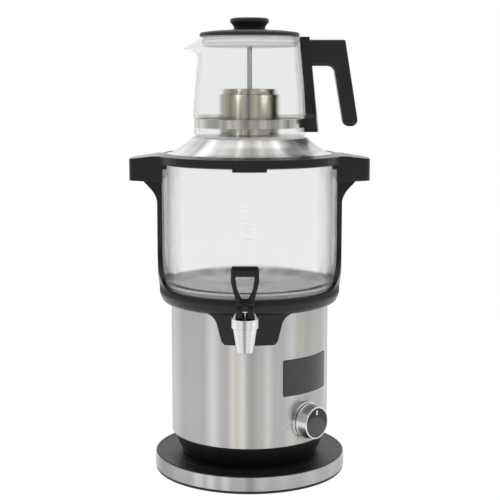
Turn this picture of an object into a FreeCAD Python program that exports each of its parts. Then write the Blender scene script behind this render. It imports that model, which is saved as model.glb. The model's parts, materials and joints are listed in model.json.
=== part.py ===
import FreeCAD, Part
import math
import os
import Sketcher
from FreeCAD import Placement, Rotation, Vector

# Automatic tea maker, in millimetres. +Z is up, the tap faces -Y, and the origin is the middle of the resting face.

# Driving dimensions
SIZES = [
    # base
    ("base_radius", 107.5),
    ("foot_rise", 1.2),
    ("tray_floor", 3.0),
    ("tray_wall", 2.4),
    ("rim_wall", 1.2),
    ("rim_top", 19.4),
    ("cover_proud", 0.6),
    ("cover_plate", 2.6),
    ("cover_gap", 0.6),
    ("rubber_radius", 7.0),
    ("rubber_circle", 90.0),
    ("rubber_sink", 0.8),
    ("base_screw_circle", 70.0),
    ("screw_radius", 1.5),
    ("screw_head_radius", 2.8),
    ("screw_head", 1.6),
    ("boss_radius", 4.0),
    ("cord_hole_radius", 3.5),
    ("fit_gap", 0.2),
    ("run_gap", 0.4),
    # power coupling
    ("plug_radius", 18.0),
    ("plug_wall", 4.0),
    ("plug_rise", 16.0),
    ("plug_floor", 3.0),
    ("pin_radius", 2.5),
    ("ring_contact_wall", 1.0),
    ("contact_drop", 2.5),
    ("core_outer_radius", 9.6),
    ("core_inner_radius", 5.0),
    ("sleeve_wall", 0.8),
    ("socket_wall", 2.6),
    ("socket_flange", 6.0),
    ("socket_plate", 3.0),
    ("coupling_gap", 0.8),
    # foot ring
    ("foot_gap", 0.4),
    ("foot_bottom_radius", 76.0),
    ("foot_mid_radius", 81.6),
    ("foot_mid_rise", 12.0),
    ("foot_top_radius", 85.4),
    ("foot_wall", 3.0),
    ("foot_floor_rise", 4.0),
    ("foot_floor_plate", 3.0),
    ("foot_spigot", 7.0),
    # body shell
    ("shell_radius", 88.2),
    ("shell_wall", 0.8),
    ("foot_height", 25.0),
    ("shell_height", 152.0),
    # collar
    ("collar_radius", 101.0),
    ("collar_lap", 5.5),
    ("collar_height", 17.0),
    ("collar_floor_sink", 5.0),
    ("collar_floor_plate", 3.0),
    ("collar_hole_radius", 61.0),
    ("apron_radius", 94.0),
    ("apron_drop", 31.8),
    ("apron_half_low", 28.8),
    ("apron_half_high", 37.5),
    ("apron_low_corner", 9.0),
    ("apron_high_fillet", 15.0),
    # side arms
    ("arm_outer_radius", 103.3),
    ("arm_inner_radius", 98.0),
    ("arm_half_width", 16.0),
    ("arm_flare_half", 66.0),
    ("arm_flare_rise", 30.0),
    ("gusset_reach", 117.8),
    ("gusset_drop", 30.0),
    # upper frame
    ("ear_drop", 19.3),
    ("ear_reach", 132.8),
    ("ear_end_height", 23.9),
    ("ear_end_half", 18.0),
    ("ear_root_half", 39.0),
    ("ear_root_x", 94.6),
    ("ear_corner", 9.0),
    ("ring_radius", 104.7),
    ("ring_inner_radius", 87.0),
    ("ring_edge_height", 8.5),
    ("ring_height", 10.8),
    ("ring_seat_sink", 1.8),
    ("cone_radius", 93.0),
    ("tab_half_width", 18.0),
    ("tab_drop", 3.8),
    ("tab_inner_radius", 99.0),
    ("lug_drop", 5.3),
    ("lug_half_width", 6.0),
    # vessel
    ("vessel_radius", 95.9),
    ("vessel_wall", 4.0),
    ("vessel_corner", 12.0),
    ("vessel_hole_radius", 79.0),
    ("seal_thick", 1.5),
    ("vessel_height", 141.3),
    # heater dish
    ("dish_radius", 87.0),
    ("dish_depth", 4.1),
    ("dish_floor_radius", 71.0),
    ("dish_floor_rise", 2.5),
    ("dish_wall", 1.0),
    ("stud_circle", 68.0),
    ("stud_radius", 2.0),
    ("stud_drop", 4.0),
    ("element_circle", 52.0),
    ("element_radius", 4.0),
    ("drain_reach", 67.0),
    ("drain_radius", 4.5),
    ("drain_wall", 0.8),
    ("drain_drop", 10.5),
    ("hose_wall", 2.0),
    # tap
    ("tap_offset", -4.6),
    ("tap_reach", 128.0),
    ("shank_drop", 15.5),
    ("shank_radius", 8.0),
    ("shank_bore_radius", 4.0),
    ("shank_inner_end", 76.0),
    ("tap_flange_radius", 12.0),
    ("tap_flange", 2.5),
    ("tap_barrel_radius", 12.8),
    ("tap_barrel_wall", 2.0),
    ("nozzle_radius", 8.6),
    ("nozzle_drop", 15.1),
    ("nozzle_bore_radius", 6.2),
    ("valve_seat_drop", 8.0),
    ("barrel_rise", 10.4),
    ("tap_collar_height", 10.0),
    ("tap_collar_radius", 14.2),
    ("shoulder_height", 5.4),
    ("shoulder_top_radius", 9.6),
    ("stem_radius", 1.5),
    ("stem_over_pin", 4.0),
    ("lever_pin_rise", 5.2),
    ("lever_pin_radius", 1.2),
    ("lever_width", 17.4),
    ("lever_depth", 15.0),
    ("lever_slot", 5.4),
    ("lever_plate", 6.5),
    ("lever_cheek", 2.6),
    ("lever_slot_sink", 2.5),
    ("lever_hub_rise", 7.0),
    ("lever_hub_round", 6.5),
    ("lever_height", 36.4),
    ("lever_top_half", 14.2),
    ("lever_side", 4.3),
    ("lever_bar", 10.6),
    ("plug_seal_radius", 7.0),
    ("plug_seal_height", 6.0),
    # control panel
    ("window_middle_angle", 46.8),
    ("window_span_angle", 45.4),
    ("window_rise", 55.6),
    ("window_height", 40.0),
    ("window_proud", 0.6),
    ("window_thick", 2.0),
    ("window_lap", 3.0),
    ("window_corner", 3.0),
    ("module_width", 50.0),
    ("module_tall", 34.0),
    ("module_thick", 6.0),
    ("module_reach", 79.4),
    ("knob_angle", 43.8),
    ("knob_rise", 25.6),
    ("knob_base_radius", 19.4),
    ("knob_front_radius", 17.6),
    ("knob_front", 105.8),
    ("knob_wall", 2.2),
    ("knob_face_sink", 0.6),
    ("knob_cap_thick", 3.0),
    ("bezel_radius", 20.6),
    ("bezel_hole_radius", 14.0),
    ("bezel_face", 91.0),
    ("encoder_size", 22.0),
    ("encoder_depth", 9.0),
    ("bushing_radius", 4.5),
    ("shaft_radius", 3.0),
    # control board
    ("board_rise", 24.0),
    ("board_plate", 1.6),
    ("board_length", 104.0),
    ("board_width", 74.0),
    # steam cone
    ("cone_wall", 0.8),
    ("cone_lip", 4.7),
    ("cone_top_radius", 63.6),
    ("cone_seat_rise", 13.8),
    ("cone_seat_radius", 48.0),
    # teapot
    ("pot_wall", 2.4),
    ("pot_seat_gap", 0.3),
    ("pot_foot_radius", 54.0),
    ("pot_low_radius", 62.7),
    ("pot_low_rise", 9.8),
    ("band_rise", 14.8),
    ("band_height", 9.8),
    ("band_groove_radius", 61.0),
    ("band_thick", 0.8),
    ("pot_wide_radius", 63.0),
    ("pot_wide_rise", 28.3),
    ("pot_mid_radius", 60.1),
    ("pot_mid_rise", 66.3),
    ("pot_neck_radius", 56.4),
    ("pot_neck_drop", 13.9),
    ("pot_rim_radius", 55.4),
    ("pot_height", 113.2),
    ("lip_apex_drop", 27.4),
    ("lip_reach", 71.7),
    ("lip_centre", 55.0),
    ("lip_tip_drop", 9.9),
    # pot handle
    ("handle_width", 24.0),
    ("strap_over_rim", 0.7),
    ("strap_top_outer", 65.8),
    ("strap_under_band", 4.7),
    ("strap_bottom_outer", 76.6),
    ("strap_bottom_inner", 63.6),
    ("grip_top_drop", 3.8),
    ("grip_bottom_rise", 5.9),
    ("grip_top_outer", 104.6),
    ("grip_bottom_outer", 120.2),
    ("grip_gap_drop", 28.4),
    ("grip_under_outer", 92.0),
    ("grip_bottom_inner", 103.4),
    ("grip_corner", 8.0),
    ("handle_round", 3.0),
    # lid and infuser
    ("lid_radius", 54.8),
    ("lid_gap", 0.3),
    ("lid_edge", 4.4),
    ("lid_crown_rise", 3.2),
    ("lid_boss_radius", 17.4),
    ("skirt_radius", 51.0),
    ("skirt_wall", 1.6),
    ("skirt_drop", 11.2),
    ("lid_seal_radius", 52.0),
    ("rod_radius", 2.75),
    ("rod_gap", 0.05),
    ("lift_knob_base_radius", 17.2),
    ("lift_knob_radius", 21.4),
    ("lift_knob_flare", 9.4),
    ("lift_knob_dome", 3.2),
    ("basket_radius", 32.6),
    ("basket_wall", 0.8),
    ("basket_rise", 4.3),
    ("basket_height", 46.9),
    ("cap_radius", 29.2),
    ("cap_height", 5.7),
    ("basket_hole_radius", 1.3),
    ("basket_hole_rows", 5),
    ("basket_holes_round", 20),
]

doc = FreeCAD.newDocument("TeaMaker")
sheet = doc.addObject("Spreadsheet::Sheet", "Sizes")
for row, (alias, value) in enumerate(SIZES, start=1):
    sheet.set("A%d" % row, alias)
    sheet.set("B%d" % row, str(value))
    sheet.setAlias("B%d" % row, alias)
doc.recompute()


class Size:
    """A number together with the spreadsheet expression that gives it."""

    def __init__(self, value, text):
        self.value = float(value)
        self.text = text

    @staticmethod
    def of(other):
        return other if isinstance(other, Size) else Size(other, repr(float(other)))

    def _join(self, other, sign, value):
        return Size(value, "(%s %s %s)" % (self.text, sign, Size.of(other).text))

    def __add__(self, other):
        return self._join(other, "+", self.value + Size.of(other).value)

    def __radd__(self, other):
        return Size.of(other) + self

    def __sub__(self, other):
        return self._join(other, "-", self.value - Size.of(other).value)

    def __rsub__(self, other):
        return Size.of(other) - self

    def __mul__(self, other):
        return self._join(other, "*", self.value * Size.of(other).value)

    def __rmul__(self, other):
        return Size.of(other) * self

    def __truediv__(self, other):
        return self._join(other, "/", self.value / Size.of(other).value)

    def __neg__(self):
        return Size.of(-1.0) * self


class Sizes:
    """Reads a size by its name."""

    def __getattr__(self, name):
        return Size(sheet.get(name), "Sizes.%s" % name)


s = Sizes()
nodes = {}


def keep(label, thing):
    """Files an object of the document as one sub-part."""
    thing.Label = label
    nodes[label] = thing
    return thing


def bind(thing, prop, size):
    """Sets a property from a size and ties it to the sheet."""
    thing.setExpression(prop, Size.of(size).text)


def place(thing, x=0.0, y=0.0, z=0.0, rotation=None):
    """Puts an object at a point, tied to the sheet."""
    point = [Size.of(v) for v in (x, y, z)]
    thing.Placement = Placement(Vector(*[p.value for p in point]), rotation or Rotation())
    for axis, p in zip("xyz", point):
        bind(thing, "Placement.Base.%s" % axis, p)


def radial(angle):
    """The rotation that turns +Z to point outwards at this angle right of the front."""
    return Rotation(Vector(0, 0, 1), Size.of(angle).value) * Rotation(Vector(1, 0, 0), 90)


def origin_plane(body, role):
    return [f for f in body.Origin.OriginFeatures if f.Role == role][0]


def new_sketch(body, role, name):
    sketch = body.newObject("Sketcher::SketchObject", name)
    sketch.AttachmentSupport = [(origin_plane(body, role), "")]
    sketch.MapMode = "FlatFace"
    return sketch


def draw_outline(sketch, points):
    """Draws a closed outline of straight lines whose corners are tied to the sheet."""
    count = len(points)
    corners = [(Size.of(u), Size.of(v)) for u, v in points]
    for i in range(count):
        a, b = corners[i], corners[(i + 1) % count]
        line = Part.LineSegment(Vector(a[0].value, a[1].value, 0), Vector(b[0].value, b[1].value, 0))
        sketch.addGeometry(line, False)
    for i in range(count):
        sketch.addConstraint(Sketcher.Constraint("Coincident", i, 2, (i + 1) % count, 1))
    for i, (u, v) in enumerate(corners):
        for kind, size in (("DistanceX", u), ("DistanceY", v)):
            index = sketch.addConstraint(Sketcher.Constraint(kind, -1, 1, i, 1, size.value))
            sketch.setExpression("Constraints[%d]" % index, size.text)


def draw_circle(sketch, x, y, radius):
    """Draws a circle tied to the sheet."""
    x, y, radius = Size.of(x), Size.of(y), Size.of(radius)
    geo = sketch.addGeometry(Part.Circle(Vector(x.value, y.value, 0), Vector(0, 0, 1), radius.value), False)
    for kind, size in (("DistanceX", x), ("DistanceY", y)):
        index = sketch.addConstraint(Sketcher.Constraint(kind, -1, 1, geo, 3, size.value))
        sketch.setExpression("Constraints[%d]" % index, size.text)
    index = sketch.addConstraint(Sketcher.Constraint("Radius", geo, radius.value))
    sketch.setExpression("Constraints[%d]" % index, radius.text)


def turned(name, outline):
    """A body turned about +Z from an outline of (radius, height) corners."""
    body = doc.addObject("PartDesign::Body", name)
    sketch = new_sketch(body, "XZ_Plane", name + "_outline")
    draw_outline(sketch, outline)
    turn = body.newObject("PartDesign::Revolution", name + "_turn")
    turn.Profile = sketch
    turn.ReferenceAxis = (sketch, ["V_Axis"])
    turn.Angle = 360.0
    doc.recompute()
    return body


def prism(name, role, outline, length, symmetric=True):
    """A body padded from an outline on an origin plane, on both sides of it or along its normal."""
    body = doc.addObject("PartDesign::Body", name)
    sketch = new_sketch(body, role, name + "_outline")
    draw_outline(sketch, outline)
    pad = body.newObject("PartDesign::Pad", name + "_pad")
    pad.Profile = sketch
    pad.SideType = "Symmetric" if symmetric else "One side"
    pad.Length = Size.of(length).value
    bind(pad, "Length", length)
    doc.recompute()
    return body


def pins(name, centres, radius, height):
    """One body of equal round pins standing on z = 0 of its own frame."""
    body = doc.addObject("PartDesign::Body", name)
    body.AllowCompound = True
    sketch = new_sketch(body, "XY_Plane", name + "_circles")
    for x, y in centres:
        draw_circle(sketch, x, y, radius)
    pad = body.newObject("PartDesign::Pad", name + "_pad")
    pad.Profile = sketch
    pad.Length = Size.of(height).value
    bind(pad, "Length", height)
    doc.recompute()
    return body


def round_edges(body, radius, test):
    """Rounds each edge of a body's last feature that passes the test."""
    tip = body.Tip
    names = ["Edge%d" % (i + 1) for i, e in enumerate(tip.Shape.Edges) if test(e)]
    if not names:
        raise RuntimeError("no edge to round on " + body.Name)
    fillet = body.newObject("PartDesign::Fillet", body.Name + "_round%d" % len(body.Group))
    fillet.Base = (tip, names)
    fillet.Radius = Size.of(radius).value
    bind(fillet, "Radius", radius)
    doc.recompute()
    return fillet


def circle_at(radius, height):
    """Picks the round edges of a turned body near a radius and a height."""
    r, z = Size.of(radius).value, Size.of(height).value

    def test(edge):
        curve = edge.Curve
        if not isinstance(curve, Part.Circle):
            return False
        return abs(curve.Radius - r) < 0.02 and abs(curve.Center.z - z) < 0.02
    return test


def line_at(points, plane="XZ"):
    """Picks the straight edges of a prism that stand on the given corners of its outline."""
    wanted = [(Size.of(u).value, Size.of(v).value) for u, v in points]
    first, second, along = {"XZ": (0, 2, 1), "XY": (0, 1, 2), "YZ": (1, 2, 0)}[plane]

    def test(edge):
        if not isinstance(edge.Curve, Part.Line) or len(edge.Vertexes) < 2:
            return False
        a, b = edge.Vertexes[0].Point, edge.Vertexes[1].Point
        if abs(a[first] - b[first]) > 0.01 or abs(a[second] - b[second]) > 0.01:
            return False
        return any(abs(a[first] - u) < 0.02 and abs(a[second] - v) < 0.02 for u, v in wanted)
    return test


def cylinder(name, radius, height, x=0.0, y=0.0, z=0.0, rotation=None, angle=None):
    """A cylinder standing on a point, or a sector of one."""
    thing = doc.addObject("Part::Cylinder", name)
    bind(thing, "Radius", radius)
    bind(thing, "Height", height)
    if angle is not None:
        bind(thing, "Angle", angle)
    place(thing, x, y, z, rotation)
    return thing


def block(name, size_x, size_y, size_z, x=0.0, y=0.0, z=0.0):
    """A box whose middle in X and Y, and whose bottom, lie at a point."""
    thing = doc.addObject("Part::Box", name)
    bind(thing, "Length", size_x)
    bind(thing, "Width", size_y)
    bind(thing, "Height", size_z)
    place(thing, Size.of(x) - Size.of(size_x) / 2, Size.of(y) - Size.of(size_y) / 2, z)
    return thing


def fused(name, things):
    thing = doc.addObject("Part::MultiFuse", name)
    thing.Shapes = things
    return thing


def cut(name, base, tools):
    """Takes one or more tools away from a base."""
    thing = doc.addObject("Part::Cut", name)
    thing.Base = base
    thing.Tool = tools[0] if len(tools) == 1 else fused(name + "_tools", tools)
    return thing


def common(name, first, second):
    thing = doc.addObject("Part::MultiCommon", name)
    thing.Shapes = [first, second]
    return thing


def on_circle(radius, count, start=0.0):
    """Centres evenly spaced on a circle, starting at an angle right of the front."""
    radius = Size.of(radius)
    result = []
    for i in range(count):
        angle = math.radians(start + 360.0 * i / count)
        result.append((radius * math.sin(angle), radius * -math.cos(angle)))
    return result


def compound_ring(name, radius, wall, height, z):
    """A plain tube standing at a height."""
    radius, wall = Size.of(radius), Size.of(wall)
    return turned(name, [(radius - wall, z), (radius, z), (radius, z + height), (radius - wall, z + height)])


def turned_place(thing, angle, x, y, z, facing=None):
    """Puts an object at a point of the front view and swings it to an angle right of the front."""
    rotation = Rotation(Vector(0, 0, 1), Size.of(angle).value)
    local = Vector(Size.of(x).value, Size.of(y).value, Size.of(z).value)
    for axis in "xyz":
        thing.setExpression("Placement.Base.%s" % axis, None)
    thing.Placement = Placement(rotation.multVec(local), facing or rotation)


def sector(name, inner, outer, bottom, top, middle, span):
    """A slice of a tube, seen from above, round an angle right of the front."""
    start = Rotation(Vector(0, 0, 1), (Size.of(middle) - Size.of(span) / 2).value - 90.0)
    whole = cylinder(name + "_whole", outer, Size.of(top) - bottom, z=bottom, rotation=start, angle=span)
    core = cylinder(name + "_core", inner, Size.of(top) - bottom + 2, z=Size.of(bottom) - 1)
    return cut(name, whole, [core])


def hex_nut(name, across, bore, height):
    """A six-sided nut on z = 0 of its own frame."""
    body = doc.addObject("Part::Prism", name + "_hex")
    body.Polygon = 6
    bind(body, "Circumradius", across)
    bind(body, "Height", height)
    hole = cylinder(name + "_bore", bore, Size.of(height) + 2, z=-1)
    return cut(name, body, [hole])


# Heights and radii that follow from the sizes
cover_top = s.rim_top + s.cover_proud
foot_mid_height = cover_top + s.foot_mid_rise
foot_floor_height = cover_top + s.foot_floor_rise
shell_bottom = cover_top + s.foot_height
shell_top = shell_bottom + s.shell_height
collar_bottom = shell_top - s.collar_lap
collar_top = collar_bottom + s.collar_height
collar_floor_top = collar_top - s.collar_floor_sink
apron_bottom = collar_bottom - s.apron_drop
collar_under = collar_floor_top - s.collar_floor_plate
vessel_bottom = collar_floor_top + s.seal_thick
vessel_floor = vessel_bottom + s.vessel_wall
dish_floor_height = vessel_floor + s.dish_floor_rise
dish_rim_height = dish_floor_height + s.dish_depth
dish_under = dish_floor_height - s.dish_wall
stud_bottom = collar_under - s.stud_drop
drain_bottom = collar_under - s.drain_drop
vessel_top = vessel_bottom + s.vessel_height
ring_bottom = vessel_top + s.seal_thick
ring_edge_top = ring_bottom + s.ring_edge_height
ring_crown = ring_bottom + s.ring_height
ring_seat = ring_crown - s.ring_seat_sink
ear_bottom = ring_bottom - s.ear_drop
ear_end_top = ear_bottom + s.ear_end_height
tab_bottom = ring_bottom - s.tab_drop
lug_bottom = ring_bottom - s.lug_drop
shank_height = collar_bottom - s.shank_drop
nozzle_bottom = shank_height - s.nozzle_drop
valve_seat_height = shank_height - s.valve_seat_drop
tap_collar_bottom = shank_height + s.barrel_rise
tap_collar_top = tap_collar_bottom + s.tap_collar_height
shoulder_top = tap_collar_top + s.shoulder_height
lever_pin_height = shoulder_top + s.lever_pin_rise
stem_top = lever_pin_height + s.stem_over_pin
lever_slot_top = lever_pin_height - s.lever_slot_sink
lever_hub_top = lever_pin_height + s.lever_hub_rise
lever_top = lever_hub_top + s.lever_height
window_bottom = shell_bottom + s.window_rise
window_top = window_bottom + s.window_height
knob_height = shell_bottom + s.knob_rise
board_height = foot_floor_height + s.board_rise
cone_seat = ring_seat + s.cone_seat_rise
cone_top = cone_seat + s.cone_lip
pot_bottom = cone_seat + s.cone_wall + s.pot_seat_gap
pot_low_height = pot_bottom + s.pot_low_rise
band_bottom = pot_bottom + s.band_rise
band_top = band_bottom + s.band_height
pot_wide_height = pot_bottom + s.pot_wide_rise
pot_mid_height = pot_bottom + s.pot_mid_rise
pot_rim_height = pot_bottom + s.pot_height
pot_neck_height = pot_rim_height - s.pot_neck_drop
lip_apex_height = pot_rim_height - s.lip_apex_drop
lip_tip_height = pot_rim_height - s.lip_tip_drop
strap_top = pot_rim_height + s.strap_over_rim
strap_bottom = band_bottom - s.strap_under_band
grip_top = strap_top - s.grip_top_drop
grip_bottom = strap_bottom + s.grip_bottom_rise
grip_under = grip_top - s.grip_gap_drop
lid_bottom = pot_rim_height + s.lid_gap
lid_edge_top = lid_bottom + s.lid_edge
lid_crown = lid_edge_top + s.lid_crown_rise
skirt_bottom = lid_bottom - s.skirt_drop
lift_knob_bottom = lid_crown + s.run_gap
lift_knob_wide = lift_knob_bottom + s.lift_knob_flare
lift_knob_top = lift_knob_wide + s.lift_knob_dome
basket_bottom = pot_bottom + s.basket_rise
basket_top = basket_bottom + s.basket_height
cap_top = basket_top + s.cap_height
tray_top = s.foot_rise + s.tray_floor
rim_inner = s.base_radius - s.rim_wall
wall_outer = rim_inner - s.fit_gap
wall_inner = wall_outer - s.tray_wall
cover_under = cover_top - s.cover_plate
cord_height = (tray_top + cover_under) / 2
foot_bottom = cover_top + s.foot_gap
foot_floor_top = foot_floor_height + s.foot_floor_plate
shell_inner = s.shell_radius - s.shell_wall
vessel_inner = s.vessel_radius - s.vessel_wall

# Base
boss_split = tray_top + 5
base_screw_places = on_circle(s.base_screw_circle, 4, 45)
tray = turned("tray_form", [
    (0, s.foot_rise), (s.base_radius - s.rim_wall / 2, s.foot_rise), (s.base_radius - s.rim_wall / 2, tray_top),
    (wall_outer, tray_top), (wall_outer, cover_under), (wall_inner, cover_under), (wall_inner, tray_top), (0, tray_top)])
tray_bosses = pins("tray_bosses", base_screw_places, s.boss_radius, boss_split - s.foot_rise)
place(tray_bosses, z=s.foot_rise)
tray_shanks = pins("tray_shanks", base_screw_places, s.screw_radius + s.fit_gap, boss_split + 2)
tray_heads = pins("tray_heads", base_screw_places, s.screw_head_radius + s.fit_gap, s.foot_rise + s.screw_head)
rubber_places = on_circle(s.rubber_circle, 4, 45) + [(0, 0)]
rubber_pockets = pins("rubber_pockets", rubber_places, s.rubber_radius + s.fit_gap, s.foot_rise + s.rubber_sink)
cord_hole = cylinder("cord_hole", s.cord_hole_radius, 12, y=s.base_radius + 2, z=cord_height,
                     rotation=Rotation(Vector(1, 0, 0), 90))
keep("base_tray", cut("tray", fused("tray_block", [tray, tray_bosses]),
                      [tray_shanks, tray_heads, rubber_pockets, cord_hole]))
rim_band = turned("rim_band", [(rim_inner, tray_top), (s.base_radius, tray_top), (s.base_radius, s.rim_top),
                               (rim_inner, s.rim_top)])
round_edges(rim_band, 0.5, circle_at(s.base_radius, s.rim_top))
rim_hole = cylinder("rim_hole", s.cord_hole_radius, 12, y=s.base_radius + 2, z=cord_height,
                    rotation=Rotation(Vector(1, 0, 0), 90))
keep("base_rim", cut("rim", rim_band, [rim_hole]))
cover_disc = turned("cover_disc", [(0, cover_under), (rim_inner - s.cover_gap, cover_under),
                                   (rim_inner - s.cover_gap, cover_top), (0, cover_top)])
round_edges(cover_disc, 0.6, circle_at(rim_inner - s.cover_gap, cover_top))
cover_bosses = pins("cover_bosses", base_screw_places, s.boss_radius, cover_under - boss_split + 1)
place(cover_bosses, z=boss_split)
cover_holes = pins("cover_holes", base_screw_places, s.screw_radius, cover_under - boss_split)
place(cover_holes, z=boss_split - 1)
keep("base_cover", cut("cover", fused("cover_block", [cover_disc, cover_bosses]), [cover_holes]))
keep("base_feet", pins("feet", rubber_places, s.rubber_radius, s.foot_rise + s.rubber_sink))
base_heads = pins("base_heads", base_screw_places, s.screw_head_radius, s.screw_head)
place(base_heads, z=s.foot_rise)
base_shanks = pins("base_shanks", base_screw_places, s.screw_radius, cover_under - s.foot_rise - 3)
place(base_shanks, z=s.foot_rise + s.screw_head / 2)
keep("base_screws", fused("base_screw_set", [base_heads, base_shanks]))

# Power coupling
plug_top = cover_top + s.plug_rise
plug_deck = cover_top + s.plug_floor
well = s.plug_radius - s.plug_wall
keep("power_plug", turned("plug", [(0, cover_top), (s.plug_radius, cover_top), (s.plug_radius, plug_top),
                                   (well, plug_top), (well, plug_deck), (0, plug_deck)]))
contact_pin = cylinder("contact_pin", s.pin_radius, s.plug_rise - s.plug_floor - s.contact_drop, z=plug_deck)
contact_ring = compound_ring("contact_ring", well - s.fit_gap, s.ring_contact_wall,
                             s.plug_rise - s.plug_floor - s.contact_drop, plug_deck)
keep("plug_contacts", fused("contacts_low", [contact_pin, contact_ring]))
socket_inner = s.plug_radius + s.coupling_gap
socket_outer = socket_inner + s.socket_wall
socket_under = plug_top + s.coupling_gap
socket_top = socket_under + s.socket_plate
core_under = plug_deck + s.coupling_gap
socket_form = turned("socket_form", [
    (0, socket_under), (s.core_inner_radius, socket_under), (s.core_inner_radius, core_under),
    (s.core_outer_radius, core_under), (s.core_outer_radius, socket_under), (socket_inner, socket_under),
    (socket_inner, foot_floor_height), (socket_outer, foot_floor_height), (socket_outer, foot_floor_top),
    (socket_outer + s.socket_flange, foot_floor_top), (socket_outer + s.socket_flange, foot_floor_top + 2),
    (socket_outer, foot_floor_top + 2), (socket_outer, socket_top), (0, socket_top)])
sleeve_in = compound_ring("sleeve_in", s.core_inner_radius - s.fit_gap / 2, s.sleeve_wall,
                          socket_under - core_under - 1, core_under + 1)
sleeve_out = compound_ring("sleeve_out", s.core_outer_radius + s.fit_gap / 2 + s.sleeve_wall, s.sleeve_wall,
                           socket_under - core_under - 1, core_under + 1)
keep("socket_contacts", fused("contacts_high", [sleeve_in, sleeve_out]))
socket_screw_places = on_circle(socket_outer + s.socket_flange / 2, 3)
socket_heads = pins("socket_heads", socket_screw_places, s.screw_head_radius, s.screw_head)
place(socket_heads, z=foot_floor_top + 2)
socket_shanks = pins("socket_shanks", socket_screw_places, s.screw_radius, s.foot_floor_plate + 2)
place(socket_shanks, z=foot_floor_height + 1)
socket_holes = pins("socket_holes", socket_screw_places, s.screw_radius + s.rod_gap, s.foot_floor_plate + 4)
place(socket_holes, z=foot_floor_height)
keep("power_socket", cut("socket", socket_form, [socket_holes]))
keep("socket_screws", fused("socket_screw_set", [socket_heads, socket_shanks]))

# Foot ring
spigot = shell_inner - s.fit_gap
foot = turned("foot_form", [
    (s.foot_bottom_radius, foot_bottom), (s.foot_mid_radius, foot_mid_height), (s.foot_top_radius, shell_bottom),
    (spigot, shell_bottom), (spigot, shell_bottom + s.foot_spigot),
    (spigot - s.foot_wall, shell_bottom + s.foot_spigot), (spigot - s.foot_wall, shell_bottom + s.foot_wall),
    (s.foot_top_radius - s.foot_wall, shell_bottom), (s.foot_mid_radius - s.foot_wall, foot_mid_height),
    (s.foot_bottom_radius - s.foot_wall + 3, foot_floor_top), (socket_outer + s.fit_gap, foot_floor_top),
    (socket_outer + s.fit_gap, foot_floor_height), (s.foot_bottom_radius - s.foot_wall + 1, foot_floor_height),
    (s.foot_bottom_radius - s.foot_wall, foot_bottom)])
board_places = [(x * (s.board_length / 2 - 6), y * (s.board_width / 2 - 6)) for x in (-1, 1) for y in (-1, 1)]
posts = pins("posts", board_places, s.boss_radius, board_height - foot_floor_top + 1)
place(posts, z=foot_floor_top - 1)
post_holes = pins("post_holes", board_places, s.screw_radius + s.rod_gap, 12)
place(post_holes, z=board_height - 10)
foot_screw_holes = pins("foot_screw_holes", socket_screw_places, s.screw_radius + s.rod_gap, s.foot_floor_plate + 2)
place(foot_screw_holes, z=foot_floor_height - 1)
keep("foot_ring", cut("foot", fused("foot_block", [foot, posts]), [post_holes, foot_screw_holes]))

# Control board
board = block("board_plate_form", s.board_length, s.board_width, s.board_plate, z=board_height)
board_holes = pins("board_holes", board_places, s.screw_radius + s.rod_gap, s.board_plate + 2)
place(board_holes, z=board_height - 1)
keep("control_board", cut("board", board, [board_holes]))
board_top = board_height + s.board_plate
keep("board_parts", fused("parts_on_board", [
    block("relay", 22, 17, 16, -28, 12, board_top),
    block("transformer", 30, 26, 24, 22, -8, board_top),
    cylinder("capacitor_a", 5.5, 20, -8, -20, board_top),
    cylinder("capacitor_b", 5.5, 20, -22, -20, board_top),
    block("terminals", 32, 9, 11, 18, 26, board_top),
    block("heat_sink", 26, 3, 20, -20, 29, board_top)]))
board_heads = pins("board_heads", board_places, s.screw_head_radius, s.screw_head)
place(board_heads, z=board_top)
board_shanks = pins("board_shanks", board_places, s.screw_radius, 9)
place(board_shanks, z=board_top - 8.5)
keep("board_screws", fused("board_screw_set", [board_heads, board_shanks]))

# Body shell with its openings for the window, the knob bushing and the tap shank
window_inner = s.shell_radius + s.window_proud - s.window_thick
degree_gap = s.fit_gap / s.shell_radius * (180 / math.pi)
shell_tube = turned("shell_tube", [(shell_inner, shell_bottom), (s.shell_radius, shell_bottom),
                                   (s.shell_radius, collar_under), (shell_inner, collar_under)])
window_way = sector("window_way", s.dish_radius - 10, s.shell_radius + 2, window_bottom - s.fit_gap,
                    window_top + s.fit_gap, s.window_middle_angle, s.window_span_angle + degree_gap * 2)
bushing_way = cylinder("bushing_way", s.bushing_radius + s.fit_gap, s.shell_radius + 5, z=knob_height,
                       rotation=radial(s.knob_angle))
front = Rotation(Vector(1, 0, 0), 90)
shank_way = cylinder("shank_way", s.shank_radius + s.fit_gap, s.tap_reach, s.tap_offset, 0, shank_height, front)


def soft_corners(name, slice_of_tube, outer, low, high, gap):
    """Rounds the four corners of the window, or of the opening that takes it, seen from straight outside."""
    half_span = math.radians((s.window_span_angle / 2).value)
    half = Size.of(outer).value * math.sin(half_span) + gap
    corners = [(-half, low), (half, low), (half, high), (-half, high)]
    plug = prism(name + "_plug", "XZ_Plane", corners, Size.of(outer) * 3)
    round_edges(plug, s.window_corner, line_at(corners))
    place(plug, rotation=Rotation(Vector(0, 0, 1), s.window_middle_angle.value))
    return common(name, slice_of_tube, plug)


soft_way = soft_corners("soft_way", window_way, s.shell_radius + s.window_proud, window_bottom - s.fit_gap,
                        window_top + s.fit_gap, s.fit_gap.value)
keep("body_shell", cut("shell", shell_tube, [soft_way, bushing_way, shank_way]))

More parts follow.
